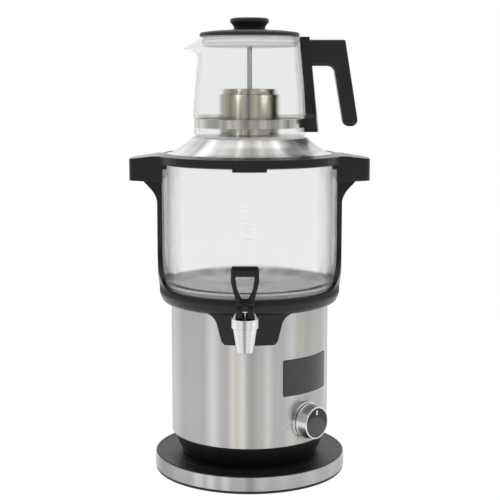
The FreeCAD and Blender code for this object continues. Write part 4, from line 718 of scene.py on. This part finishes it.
def inward(outline: Outline, inset: float) -> list[tuple[float, float]]:
    """Moves an anticlockwise outline inwards.

    Args:
        outline: the points.
        inset: how far, in the outline's unit.

    Returns:
        The moved points.
    """
    moved = []
    count = len(outline)
    for n, (u, v) in enumerate(outline):
        before = Vector((u, v)) - Vector(outline[n - 1])
        after = Vector(outline[(n + 1) % count]) - Vector((u, v))
        before = before.normalized() if before.length > 1e-9 else after.normalized()
        after = after.normalized() if after.length > 1e-9 else before
        normal = Vector((-before.y - after.y, before.x + after.x))
        normal = normal.normalized() if normal.length > 1e-6 else Vector((-before.y, before.x))
        reach = inset / max(0.5, normal.dot(Vector((-before.y, before.x))))
        moved.append((u + normal.x * reach, v + normal.y * reach))
    return moved


def spaced(outline: Outline, count: int) -> list[tuple[float, float]]:
    """Spreads a number of points evenly along a closed outline.

    Args:
        outline: the outline's points.
        count: the number of points wanted.

    Returns:
        The evenly spaced points.
    """
    ring = [Vector(p) for p in outline] + [Vector(outline[0])]
    runs = [(b - a).length for a, b in zip(ring, ring[1:])]
    whole = sum(runs)
    made, place, at = [], 0.0, 0
    for n in range(count):
        wanted = whole * n / count
        while at < len(runs) - 1 and place + runs[at] < wanted:
            place += runs[at]
            at += 1
        made.append(tuple(ring[at].lerp(ring[at + 1], (wanted - place) / runs[at] if runs[at] else 0.0)))
    return made


def turned(name: str, outline: Outline, radii: Sequence[float], steps: int = 6) -> bpy.types.Object:
    """Turns a solid piece whose outline starts and ends on the axis or in a bore, with round corners.

    Args:
        name: the piece's name.
        outline: its corners, as radius and height pairs.
        radii: the radius of each corner.
        steps: the number of short runs in each corner.

    Returns:
        The new object.
    """
    return Turning(rounded(outline, radii, steps, closed=False), closed=False).mesh(name)


def laid(piece: bpy.types.Object, place: Matrix) -> bpy.types.Object:
    """Moves a piece's mesh to its place, so that the object itself stays at the origin.

    Args:
        piece: the piece.
        place: where it goes, in millimetres.

    Returns:
        The piece.
    """
    scaled = place.copy()
    scaled.translation *= MM
    piece.data.transform(scaled)
    return piece


def finish_mesh(shape: bmesh.types.BMesh, name: str, sharp: float = 35.0) -> bpy.types.Object:
    """Turns a bmesh into an object with smooth faces and sharp creases.

    Args:
        shape: the bmesh, freed here.
        name: the object's name.
        sharp: creases above this angle stay sharp, in degrees.

    Returns:
        The object.
    """
    data = bpy.data.meshes.new(name)
    shape.to_mesh(data)
    shape.free()
    data.shade_smooth()
    data.set_sharp_from_angle(angle=math.radians(sharp))
    made = bpy.data.objects.new(name, data)
    bpy.context.scene.collection.objects.link(made)
    return made


def rounded(points: Outline, radii: Sequence[float], steps: int = 6,
            closed: bool = True) -> list[tuple[float, float]]:
    """Rounds the corners of an outline.

    Args:
        points: the corners.
        radii: the radius of each corner.
        steps: the number of short runs in each corner.
        closed: whether the last corner joins the first.

    Returns:
        The outline with arcs at its corners.
    """
    made: list[tuple[float, float]] = []
    count = len(points)
    for n, corner in enumerate(points):
        size = radii[n]
        if size <= 0 or (not closed and n in (0, count - 1)):
            made.append(tuple(corner))
            continue
        here = Vector(corner)
        before = Vector(points[n - 1]) - here
        after = Vector(points[(n + 1) % count]) - here
        half = before.angle(after, math.pi) / 2
        reach = min(size / math.tan(half), before.length * 0.49, after.length * 0.49)
        arc = reach * math.tan(half)
        middle = here + (before.normalized() + after.normalized()).normalized() * (arc / math.sin(half))
        start = here + before.normalized() * reach - middle
        end = here + after.normalized() * reach - middle
        sweep = math.atan2(start.x * end.y - start.y * end.x, start.dot(end))
        for step in range(steps + 1):
            turn = sweep * step / steps
            made.append((middle.x + start.x * math.cos(turn) - start.y * math.sin(turn),
                         middle.y + start.x * math.sin(turn) + start.y * math.cos(turn)))
    return made


def united(name: str, pieces: Sequence[bpy.types.Object]) -> bpy.types.Object:
    """Joins several meshes into one object.

    Args:
        name: the new object's name.
        pieces: the objects, which are used up.

    Returns:
        The joined object.
    """
    shape = bmesh.new()
    for piece in pieces:
        shape.from_mesh(piece.data)
        bpy.data.objects.remove(piece)
    return finish_mesh(shape, name)


# Sub-assemblies

FRAME: dict = {}


class SubAssembly:
    """A group of pieces that are dressed together."""

    def wear(self, finish: Finish, *nodes: str) -> None:
        """Gives CAD nodes a finish.

        Args:
            finish: the finish.
            nodes: the nodes' names.
        """
        for node in nodes:
            thing = FRAME["nodes"][node]
            thing.data.materials.clear()
            thing.data.materials.append(finish.material())
            LOG.info("node %s wears %s", node, finish.name)

    def fit(self, piece: bpy.types.Object, finish: Finish, slot: str, body: str, *nodes: str) -> None:
        """Dresses a new piece and hangs it on its body.

        Args:
            piece: the piece.
            finish: its finish.
            slot: the record's material slot; not used.
            body: the body it rides on.
            nodes: the CAD nodes it stands for.
        """
        piece.data.materials.clear()
        piece.data.materials.append(finish.material())
        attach(piece, body)
        if nodes:
            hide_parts(*nodes)
        LOG.info("piece %s on %s in %s", piece.name, body, finish.name)


@dataclass
class PowerBase(SubAssembly):
    """The round base that the machine stands on."""

    cover_radius: float = 105.7
    cover_top: float = 20.0
    cover_plate: float = 2.6
    lip_width: float = 1.8
    lip_rise: float = 0.4
    plate_radius: float = 88.4

    def build(self) -> None:
        """Dresses the base."""
        self.wear(BLACK, "base_tray", "power_plug")
        self.wear(HOOP_STEEL, "base_rim")
        self.wear(RUBBER, "base_feet")
        self.wear(PLAIN_STEEL, "base_screws")
        self.wear(BRASS, "plug_contacts")
        self.fit(self._cover("base_top"), BASE_BLACK, "black_plastic", "base", "base_cover")

    def _cover(self, name: str) -> bpy.types.Object:
        """Makes the cover, with a fine lip round its edge."""
        edge, top, under = self.cover_radius, self.cover_top, self.cover_top - self.cover_plate
        low = top - self.lip_rise
        lip, plate = edge - self.lip_width, self.plate_radius
        outline = [(0.0, under), (edge, under), (edge, top), (lip, top), (lip - 0.5, low), (plate + 0.6, low),
                   (plate, top - 0.1), (0.0, top - 0.1)]
        return turned(name, outline, [0, 0.2, 0.7, 0.3, 0.2, 0.2, 0.3, 0])


@dataclass
class Housing(SubAssembly):
    """The steel housing with its foot ring, frames, board and socket."""

    def build(self) -> None:
        """Dresses the housing."""
        self.wear(BLACK, "foot_ring", "power_socket", "upper_frame")
        self.wear(FRAME_BLACK, "lower_frame")
        self.wear(SHELL_STEEL, "body_shell")
        self.wear(BRASS, "socket_contacts")
        self.wear(PLAIN_STEEL, "socket_screws", "board_screws", "frame_screws", "dish_nuts", "tap_nut",
                  "encoder_nut", "valve_spring", "thermostat", "thermal_fuse", "temperature_probe",
                  "heating_element")
        self.wear(BOARD, "control_board")
        self.wear(INNER, "board_parts", "display_module", "encoder")


@dataclass
class Vessel(SubAssembly):
    """The glass vessel over its heater dish."""

    radius: float = 95.9
    wall: float = 4.0
    bottom: float = 205.0
    top: float = 346.3
    hole: float = 79.0
    corner: float = 12.0
    lowest_mark: float = 274.0
    mark_spacing: float = 6.5
    mark_count: int = 7
    long_mark: float = 10.0
    short_mark: float = 5.0

    def build(self) -> None:
        """Dresses the vessel."""
        self.wear(DISH_STEEL, "heater_dish")
        self.wear(RUBBER, "vessel_seal", "upper_seal", "dish_seal", "drain_hose", "tap_seal")
        self.fit(self._glass("vessel_wall"), GLASS, "glass", "machine", "glass_vessel")
        self.fit(self._scale("level_scale"), FAINT, "white_mark", "machine")

    def _glass(self, name: str) -> bpy.types.Object:
        """Makes the glass, with a fire-rounded rim and a thick round corner."""
        inner = self.radius - self.wall
        floor = self.bottom + self.wall
        outline = [(self.hole, self.bottom), (self.radius, self.bottom), (self.radius, self.top),
                   (inner, self.top), (inner, floor), (self.hole, floor)]
        radii = [0.5, self.corner, 1.6, 1.6, self.corner - self.wall, 0.5]
        return Turning(rounded(outline, radii, 12)).mesh(name)

    def _scale(self, name: str) -> bpy.types.Object:
        """Prints a faint level scale on the front of the glass: long and short dashes, each after a dot."""
        shape = bmesh.new()
        for number in reversed(range(self.mark_count)):
            height = self.lowest_mark + number * self.mark_spacing
            length = self.short_mark if number % 2 else self.long_mark
            self._dash(shape, height, -5.0, length - 5.0)
            self._dash(shape, height, -8.0, -6.4)
        return finish_mesh(shape, name)

    def _dash(self, shape: bmesh.types.BMesh, height: float, left: float, right: float) -> None:
        """Lays one level dash on the glass, bent round it.

        Args:
            shape: the bmesh to add to.
            height: the height of its middle.
            left: where it starts, along the glass from the front.
            right: where it ends.
        """
        steps, half, face = 6, 0.5, self.radius + 0.05
        turns = [(left + (right - left) * n / steps) / face for n in range(steps + 1)]
        low, high = ([shape.verts.new((face * MM * math.sin(a), -face * MM * math.cos(a), level * MM))
                      for a in turns] for level in (height - half, height + half))
        for n in range(steps):
            shape.faces.new([low[n], low[n + 1], high[n + 1], high[n]])


@dataclass
class Tap(SubAssembly):
    """The tap with its collar, stem and lever."""

    offset: float = -4.6
    reach: float = -128.0
    collar_radius: float = 14.2
    collar_bottom: float = 186.4
    collar_top: float = 196.4
    shoulder_top: float = 201.8
    hub_half: float = 8.7
    hub_bottom: float = 196.8
    hub_top: float = 214.0
    lever_top: float = 250.4
    lever_half: float = 14.2
    hub_reach: float = 7.5
    hub_round: float = 6.5
    plate_depth: float = 3.25
    notches: int = 12
    notch_depth: float = 0.05
    bore: float = 1.75
    foot_radius: float = 10.8

    def build(self) -> None:
        """Dresses the tap."""
        self.wear(TAP_CHROME, "tap_body")
        self.wear(CHROME, "tap_stem", "tap_pin")
        self.wear(RUBBER, "valve_plug")
        self.fit(self._collar("tap_ring"), TAP_CHROME, "polished_steel", "machine", "tap_collar")
        self.fit(self._lever("tap_grip"), LEVER_BLACK, "black_plastic", "lever", "tap_lever")

    def _collar(self, name: str) -> bpy.types.Object:
        """Makes the collar nut, notched round its side, with the slot that the lever stands in."""
        edge, low, high, top = self.collar_radius, self.collar_bottom, self.collar_top, self.shoulder_top
        foot, bore, floor = self.foot_radius, self.bore, self.collar_bottom + 4.5
        outline = [(foot, low), (edge, low), (edge, high), (foot - 0.2, top), (bore, top), (bore, floor),
                   (foot, floor)]
        piece = Turning(rounded(outline, [0.2, 0.9, 0.7, 0.5, 0.1, 0.1, 0.1], 4), 240).mesh(name)
        for point in piece.data.vertices:
            x, y, z = (v / MM for v in point.co)
            turn = math.atan2(y, x)
            if math.hypot(x, y) > edge - 0.6:
                shrink = 1 - self.notch_depth * max(0.0, math.cos(turn * self.notches)) ** 6
                point.co.x *= shrink
                point.co.y *= shrink
            if z > high and abs(x) < self.hub_half + 0.4:
                point.co.z = high * MM
        return laid(piece, Matrix.Translation((self.offset, self.reach, 0)))

    def _lever(self, name: str) -> bpy.types.Object:
        """Makes the lever: a plate with a finger hole on a forked hub with a round top."""
        half, top, hub, depth = self.lever_half, self.lever_top, self.hub_half, self.plate_depth
        plate = [(-hub, 206.0), (hub, 206.0), (hub + 0.8, self.hub_top), (half + 0.4, top - 16), (half, top),
                 (-half, top), (-half - 0.4, top - 16), (-hub - 0.8, self.hub_top)]
        gap, low = half - 4.3, self.hub_top + 3.2
        hole = [(-3.8, low), (3.8, low), (gap - 1.8, low + 9.5), (gap, top - 10.6), (-gap, top - 10.6),
                (1.8 - gap, low + 9.5)]
        outer = spaced(rounded(plate, [0.5, 0.5, 10, 20, 2.6, 2.6, 20, 10], 10), 200)
        inner = spaced(rounded(hole, [3, 3, 12, 1.2, 1.2, 12], 8), 200)
        parts = [Slab(outer, -depth, depth, 1.1, inner).mesh("lever_plate")]
        turn = Matrix.Rotation(math.radians(90), 4, "Z")
        cheek, bridge = self._cheek(), self._bridge()
        for shape, left, right in ((cheek, -hub, -2.7), (cheek, 2.7, hub), (bridge, -3.2, 3.2)):
            parts.append(laid(Slab(shape, -right, -left, 0.7).mesh("hub_part"), turn))
        return laid(united(name, parts), Matrix.Translation((self.offset, self.reach, 0)))

    def _cheek(self) -> Outline:
        """Returns the side outline of one of the hub's two cheeks, round at the top."""
        reach, low, top = self.hub_reach, self.hub_bottom, self.hub_top
        corners = [(-reach, low), (reach, low), (reach, top), (-reach, top)]
        return rounded(corners, [0.8, 0.8, self.hub_round, self.hub_round], 10)

    def _bridge(self) -> Outline:
        """Returns the side outline of the piece that joins the cheeks in front."""
        reach, low, top = self.hub_reach, self.hub_bottom + 7.7, self.hub_top - 0.1
        corners = [(-reach, low), (-4.9, low), (-4.9, low + 6), (-2.5, low + 6), (-2.5, top), (-reach, top)]
        return rounded(corners, [0.6, 0.3, 0.5, 0, 0, self.hub_round], 10)


@dataclass
class ControlPanel(SubAssembly):
    """The display and the selector knob."""

    angle: float = 43.8
    height: float = 70.6
    base_radius: float = 19.4
    front_radius: float = 17.6
    base: float = 91.5
    front: float = 105.8
    shell: float = 88.2
    bore: float = 14.5
    scale_radius: float = 25.0
    dot_radius: float = 0.75
    dot_step: float = 50.0

    def build(self) -> None:
        """Dresses the panel."""
        self.wear(PANEL, "display_window")
        self.wear(BLACK_SMOOTH, "display_frame")
        self.wear(CHROME, "knob_bezel")
        self.wear(PLAIN_STEEL, "knob_shaft")
        self.wear(MARK, "knob_pointer")
        self.fit(self._side("knob_side"), KNOB_CHROME, "polished_steel", "selector", "knob_body")
        self.fit(self._face("knob_lens"), KNOB_GLOSS, "knob_face", "selector", "knob_face")
        self.fit(self._scale("knob_scale"), DOT, "white_mark", "machine")

    def _outwards(self) -> Matrix:
        """Returns the placement that turns the upright axis to point out through the knob."""
        turn = math.radians(self.angle)
        along, out = Vector((math.cos(turn), math.sin(turn), 0)), Vector((math.sin(turn), -math.cos(turn), 0))
        place = Matrix((along, Vector((0, 0, 1)), out)).transposed().to_4x4()
        place.translation = Vector((0, 0, self.height))
        return place

    def _side(self, name: str) -> bpy.types.Object:
        """Makes the knob's side: a bead at the shell, a slight waist and a bright front ring."""
        wide, tight, base, front = self.base_radius, self.front_radius, self.base, self.front
        outline = [(self.bore, base), (wide, base), (wide, base + 2.2), (wide - 0.5, base + 2.7),
                   (wide - 0.7, base + 4.5), (tight + 0.25, front - 1.6), (tight, front),
                   (tight - 1.5, front), (tight - 1.7, front - 1.2), (tight - 2.4, front - 3.6),
                   (self.bore, front - 3.6)]
        radii = [0.2, 0.6, 0.5, 0.3, 2, 0.5, 0.7, 0.5, 0.1, 0.1, 0.1]
        return laid(Turning(rounded(outline, radii, 4)).mesh(name), self._outwards())

    def _face(self, name: str) -> bpy.types.Object:
        """Makes the gloss disc in the knob's front."""
        edge, face = self.front_radius - 1.9, self.front - 0.6
        outline = [(0.0, face - 3.0), (edge, face - 3.0), (edge, face), (0.0, face + 0.12)]
        return laid(turned(name, outline, [0, 0.2, 0.5, 0]), self._outwards())

    def _scale(self, name: str) -> bpy.types.Object:
        """Prints five dots on the shell, above the knob and at its sides."""
        shape = bmesh.new()
        sides, face = 12, self.shell + 0.04
        for number in range(-2, 3):
            clock = math.radians(self.dot_step * number)
            along = math.radians(self.angle) + self.scale_radius * math.sin(clock) / face
            rise = self.height + self.scale_radius * math.cos(clock)
            spots = []
            for n in range(sides):
                turn = math.tau * n / sides
                a = along + self.dot_radius * math.cos(turn) / face
                level = rise + self.dot_radius * math.sin(turn)
                spots.append(shape.verts.new((face * MM * math.sin(a), -face * MM * math.cos(a), level * MM)))
            shape.faces.new(spots)
        return finish_mesh(shape, name)


@dataclass
class SteamCone(SubAssembly):
    """The spun cone that carries the teapot."""

    edge: float = 93.0
    seat: float = 356.8
    top: float = 375.3
    top_radius: float = 63.6
    ledge: float = 371.4
    mouth: float = 48.0

    def build(self) -> None:
        """Dresses the cone."""
        self.fit(self._hood("steam_hood"), CONE_STEEL, "brushed_steel", "cone", "steam_cone")

    def _hood(self, name: str) -> bpy.types.Object:
        """Spins the cone with a rolled foot and a round shoulder."""
        edge, seat, top, neck = self.edge, self.seat, self.top, self.top_radius
        ledge, mouth = self.ledge, self.mouth
        outline = [(edge, seat), (edge, seat + 0.8), (edge - 4.5, seat + 1.8), (edge - 8.8, seat + 3.4),
                   (edge - 19.5, top - 8.4), (edge - 25.9, top - 2.9), (neck, top), (neck - 1, top),
                   (neck - 1.8, ledge), (mouth, ledge), (mouth, ledge - 0.8), (neck - 1.1, ledge - 0.8),
                   (neck - 0.1, top - 1.1), (edge - 26.5, top - 3.7), (edge - 20.1, top - 9.2),
                   (edge - 9.2, seat + 2.5), (edge - 4.8, seat + 0.9), (edge - 5.2, seat)]
        radii = [0.1, 0.3, 12, 18, 40, 12, 0.5, 0.5, 0.8, 0.2, 0.2, 0.5, 0.5, 12, 40, 18, 8, 0.1]
        return Turning(rounded(outline, radii, 6), 240).mesh(name)


@dataclass
class Teapot(SubAssembly):
    """The glass teapot with its pouring lip, steel band and handle."""

    outer: Outline = ((0, 371.7), (54.0, 371.7), (60.6, 374.5), (62.7, 381.5), (62.7, 386.5), (61.0, 386.6),
                      (61.0, 396.2), (62.7, 396.3), (63.0, 400.0), (60.1, 438.0), (56.4, 471.0),
                      (55.4, 484.9))
    inner: Outline = ((53.0, 484.9), (54.0, 471.0), (57.7, 438.0), (60.6, 402.0), (58.6, 397.5),
                      (58.6, 385.3), (60.3, 381.5), (58.3, 376.3), (53.0, 374.1), (0, 374.1))
    bead: Outline = ((54.9, 485.35), (54.2, 485.5), (53.5, 485.35))
    wall: float = 2.4
    lip_start: float = 458.0
    rim: float = 484.9
    lip_half_angle: float = 28.0
    lip_under: Outline = ((57.86, 458.0), (57.2, 462.6), (58.0, 466.0), (60.6, 468.0), (64.4, 469.2),
                          (68.0, 470.2), (70.8, 471.2), (72.0, 472.0))
    lip_over: Outline = ((55.46, 458.0), (54.9, 463.6), (56.0, 468.2), (59.0, 470.2), (63.2, 471.4),
                         (67.2, 472.2), (70.2, 472.9), (71.6, 473.4))

    def build(self) -> None:
        """Dresses the teapot."""
        self.wear(STRAP_STEEL, "pot_band")
        self.wear(GRIP_BLACK, "pot_handle")
        self.wear(CHROME, "handle_screw")
        self.fit(self._glass("pot_body"), POT_GLASS, "glass", "teapot", "pot_glass")

    def _glass(self, name: str) -> bpy.types.Object:
        """Blows the glass and draws its pouring lip out to the left."""
        outside = rounded(self.outer, [0, 3, 4, 4, 0.5, 0.3, 0.3, 0.5, 2, 60, 30, 0], 5, closed=False)
        inside = rounded(self.inner, [0, 30, 60, 2, 1, 1, 2, 4, 3, 0], 5, closed=False)
        outline = self._fine(outside) + list(self.bead) + self._fine(inside)
        piece = Turning(outline, 288, closed=False).mesh(name)
        for point in piece.data.vertices:
            self._draw_lip(point)
        piece.data.update()
        return piece

    def _fine(self, outline: Outline) -> list[tuple[float, float]]:
        """Adds points to the upper runs of an outline, so that the lip can bend them."""
        made: list[tuple[float, float]] = []
        for (r0, z0), (r1, z1) in zip(outline, outline[1:]):
            bends = max(z0, z1) > self.lip_start - 4
            steps = max(1, math.ceil(abs(z1 - z0) / 1.5)) if bends else 1
            made += [(r0 + (r1 - r0) * n / steps, z0 + (z1 - z0) * n / steps) for n in range(steps)]
        return made + [tuple(outline[-1])]

    def _draw_lip(self, point: bpy.types.MeshVertex) -> None:
        """Moves one point of the rim towards the lip."""
        x, y, z = (v / MM for v in point.co)
        radius = math.hypot(x, y)
        if z <= self.lip_start or radius < 40:
            return
        away = abs(math.degrees(math.atan2(y, -x)))
        if away >= self.lip_half_angle:
            return
        pull = math.cos(math.pi / 2 * away / self.lip_half_angle) ** 1.4
        rise = min(1.0, (z - self.lip_start) / (self.rim - self.lip_start))
        depth = min(1.0, max(0.0, (self._outside(z) - radius) / self.wall))
        low, high = self._along(self.lip_under, rise), self._along(self.lip_over, rise)
        there = Vector((radius, z)).lerp(low.lerp(high, depth), pull)
        scale = there.x / radius
        point.co = Vector((x * scale, y * scale, there.y)) * MM

    def _outside(self, z: float) -> float:
        """Returns the outer radius of the plain wall at a height."""
        (r0, z0), (r1, z1), (r2, z2) = self.outer[-3:]
        if z < z1:
            return r0 + (r1 - r0) * (z - z0) / (z1 - z0)
        return r1 + (r2 - r1) * (z - z1) / (z2 - z1)

    @staticmethod
    def _along(path: Outline, share: float) -> Vector:
        """Returns the point at a share of the way along a path."""
        place = share * (len(path) - 1)
        at = min(int(place), len(path) - 2)
        return Vector(path[at]).lerp(Vector(path[at + 1]), place - at)


@dataclass
class Lid(SubAssembly):
    """The teapot's lid with its milky sleeve."""

    radius: float = 54.8
    bottom: float = 485.2
    edge: float = 489.6
    crown: float = 492.8
    boss: float = 17.4
    sleeve: float = 51.0
    sleeve_bottom: float = 474.0
    sleeve_wall: float = 1.6
    bore: float = 2.8

    def build(self) -> None:
        """Dresses the lid."""
        self.wear(PALE_RUBBER, "lid_seal")
        self.fit(self._cover("pot_lid"), LID_BLACK, "black_plastic", "lid", "lid_cover")
        self.fit(self._sleeve("lid_sleeve"), FROST, "clear_plastic", "lid", "lid_skirt")

    def _cover(self, name: str) -> bpy.types.Object:
        """Turns the cover, gently domed, with a ridge round its boss."""
        r, low, edge, crown, boss = self.radius, self.bottom, self.edge, self.crown, self.boss
        rim = r - 3.6
        outline = [(self.bore, crown - 2), (boss, crown - 2), (rim, edge - 2.2), (rim, low), (r, low),
                   (r, edge - 1.4), (r - 1.4, edge), (40.0, edge + 1.9), (boss + 4.5, crown - 0.5),
                   (boss + 3.2, crown - 0.1), (boss + 2.2, crown - 0.7), (boss, crown), (self.bore, crown)]
        radii = [0.1, 1, 0.5, 0.2, 0.5, 0.8, 1.0, 60, 3, 0.6, 0.4, 0.4, 0.1]
        return Turning(rounded(outline, radii, 5)).mesh(name)

    def _sleeve(self, name: str) -> bpy.types.Object:
        """Turns the sleeve that reaches down into the pot."""
        r, low, top, bore = self.sleeve, self.sleeve_bottom, self.edge - 2.3, self.bore + 0.1
        within, floor = r - self.sleeve_wall, low + self.sleeve_wall
        outline = [(bore, low), (r, low), (r, top), (within, top), (within, floor), (bore, floor)]
        return Turning(rounded(outline, [0.1, 2.2, 0.3, 0.3, 1, 0.1], 6)).mesh(name)


@dataclass
class Infuser(SubAssembly):
    """The lift knob, its rod and the basket with its cap."""

    knob_outline: Outline = ((2.8, 493.2), (17.2, 493.2), (17.2, 494.5), (17.9, 496.6), (19.6, 499.0),
                             (21.1, 500.4), (21.4, 501.4), (21.3, 503.0), (20.3, 504.6), (18.4, 505.35),
                             (10.0, 505.75), (0.0, 505.8))
    cup_radius: float = 32.6
    cup_wall: float = 0.8
    cup_bottom: float = 376.0
    cup_top: float = 422.9
    cup_mouth: float = 27.2
    cap_radius: float = 29.2
    cap_top: float = 428.6
    cap_wall: float = 0.8
    rod_hole: float = 2.8

    def build(self) -> None:
        """Dresses the infuser."""
        self.wear(ROD_STEEL, "lift_rod")
        knob = turned("lid_grip", self.knob_outline, [0, 0.3, 0.5, 2, 3, 1, 1, 1, 1.5, 3, 0, 0], 4)
        self.fit(knob, LID_BLACK, "black_satin", "infuser", "lift_knob")
        self.fit(self._cup("basket_cup"), CUP_STEEL, "brushed_steel", "infuser", "tea_basket")
        self.fit(self._cap("basket_lid"), CUP_STEEL, "black_satin", "infuser", "basket_cap")

    def _cup(self, name: str) -> bpy.types.Object:
        """Turns the basket, with a rolled shoulder and a bead near its foot."""
        r, wall, low, top = self.cup_radius, self.cup_wall, self.cup_bottom, self.cup_top
        mouth, within = self.cup_mouth, self.cup_radius - self.cup_wall
        outline = [(0.0, low), (r, low), (r, low + 4.0), (r - 0.5, low + 5.0), (r, low + 6.0), (r, top),
                   (mouth, top), (mouth, top - wall), (within, top - wall), (within, low + wall),
                   (0.0, low + wall)]
        return turned(name, outline, [0, 1.6, 0.4, 0.4, 0.4, 1.4, 0.1, 0.1, 0.8, 1, 0], 4)

    def _cap(self, name: str) -> bpy.types.Object:
        """Turns the basket's cap."""
        r, top, low, wall, hole = self.cap_radius, self.cap_top, self.cup_top, self.cap_wall, self.rod_hole
        outline = [(hole, top - wall), (r - wall, top - wall), (r - wall, low), (r, low), (r, top),
                   (22.0, top), (21.0, top - 0.5), (hole, top - 0.3)]
        return Turning(rounded(outline, [0.1, 0.4, 0.1, 0.2, 1.0, 0.5, 0.5, 0.1], 4)).mesh(name)


# Studio


@dataclass
class Studio:
    """The floor, the light and the camera."""

    camera_place: tuple[float, float, float] = (0.0005, -1.34008, 0.44108)
    camera_tilt: float = 81.838
    lens: float = 86.68
    sensor: float = 36.0
    aim: tuple[float, float, float] = (0.0, 0.0, 0.25)
    boxes: tuple[tuple[str, tuple[float, float, float], float, float], ...] = (
        ("left_box", (-1.5, -1.5, 1.3), 1.1, 12.0),
        ("right_box", (1.7, -1.0, 1.0), 0.9, 8.0),
        ("top_box", (0.0, 0.1, 1.9), 1.2, 12.0),
    )

    def build(self) -> None:
        """Sets up the studio."""
        self._world()
        self._floor()
        self._lamps()
        self._camera()
        bpy.context.scene.view_settings.view_transform = "Standard"

    def _world(self) -> None:
        """Makes the world: white behind, dimmer in front, with soft bands for metal to show."""
        world = bpy.data.worlds.new("studio")
        bpy.context.scene.world = world
        world.use_nodes = True
        bench = ShaderBench(world.node_tree)
        where = bench.put("ShaderNodeTexCoord")
        parts = bench.put("ShaderNodeSeparateXYZ", None, {0: Wire(bench, where.outputs["Generated"])})
        x, y, z = (Wire(bench, parts.outputs[n]) for n in range(3))
        turn = bench.angle(x, y)
        level = y.step(-0.35, 0.75) * 0.6 + 0.4 + y.step(0.86, 0.99) * 0.25
        bands = bench.noise(bench.vector(turn * 2.2, z * 0.6, 4.0), 1.0, 2.0).step(0.42, 0.62)
        level = level * (bands * 0.35 + 0.7) + z.step(0.45, 0.95) * 0.8
        seen = bench.ray("Camera").larger(bench.ray("Transmission"))
        light = bench.put("ShaderNodeBackground", {"name": "Background"},
                          {"Color": (1.0, 1.0, 1.0), "Strength": seen + (1 - seen) * level})
        bench.end(Wire(bench, light.outputs[0]))

    def _floor(self) -> None:
        """Makes the pale floor, which keeps a soft shadow."""
        disc = Turning([(0.0, 0.0), (3000.0, 0.0)], 96, closed=False).mesh("floor")
        floor = bpy.data.materials.new("pale_floor")
        floor.use_nodes = True
        bench = ShaderBench(floor.node_tree)
        x, y, z = bench.place()
        cloud = bench.noise(bench.vector(x, y, z), 3.0, 2.0)
        tone = bench.blend(cloud, (0.84,) * 3, (0.86,) * 3)
        matt = bench.put("ShaderNodeBsdfDiffuse", None, {"Color": tone})
        glow = bench.put("ShaderNodeEmission", None, {"Color": (1.0, 1.0, 1.0), "Strength": 1.03})
        seen = bench.ray("Camera").larger(bench.ray("Transmission")).larger(bench.ray("Glossy") * 0.5)
        bench.end(bench.merge(seen * 0.93, Wire(bench, matt.outputs[0]), Wire(bench, glow.outputs[0])))
        disc.data.materials.append(floor)
        disc.location.z = -0.0002

    def _lamps(self) -> None:
        """Hangs three soft boxes."""
        for name, place, size, power in self.boxes:
            lamp = bpy.data.lights.new(name, "AREA")
            lamp.shape = "SQUARE"
            lamp.size = size
            lamp.energy = power
            box = bpy.data.objects.new(name, lamp)
            box.location = place
            box.rotation_euler = (Vector(place) - Vector(self.aim)).to_track_quat("Z", "Y").to_euler()
            box.visible_glossy = False
            bpy.context.scene.collection.objects.link(box)

    def _camera(self) -> None:
        """Places the camera at the photograph's angle."""
        eye = bpy.data.cameras.new("camera")
        eye.lens = self.lens
        eye.sensor_width = self.sensor
        holder = bpy.data.objects.new("camera", eye)
        holder.location = self.camera_place
        holder.rotation_euler = (math.radians(self.camera_tilt), 0.0, 0.0)
        bpy.context.scene.collection.objects.link(holder)
        bpy.context.scene.camera = holder


def main() -> None:
    """Loads the frame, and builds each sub-assembly and the studio."""
    logging.basicConfig(level=logging.INFO, format="%(name)s: %(message)s")
    FRAME.update(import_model())
    for kind in (PowerBase, Housing, Vessel, Tap, ControlPanel, SteamCone, Teapot, Lid, Infuser):
        kind().build()
        LOG.info("built %s", kind.__name__)
    Studio().build()


if __name__ == "__main__":
    main()
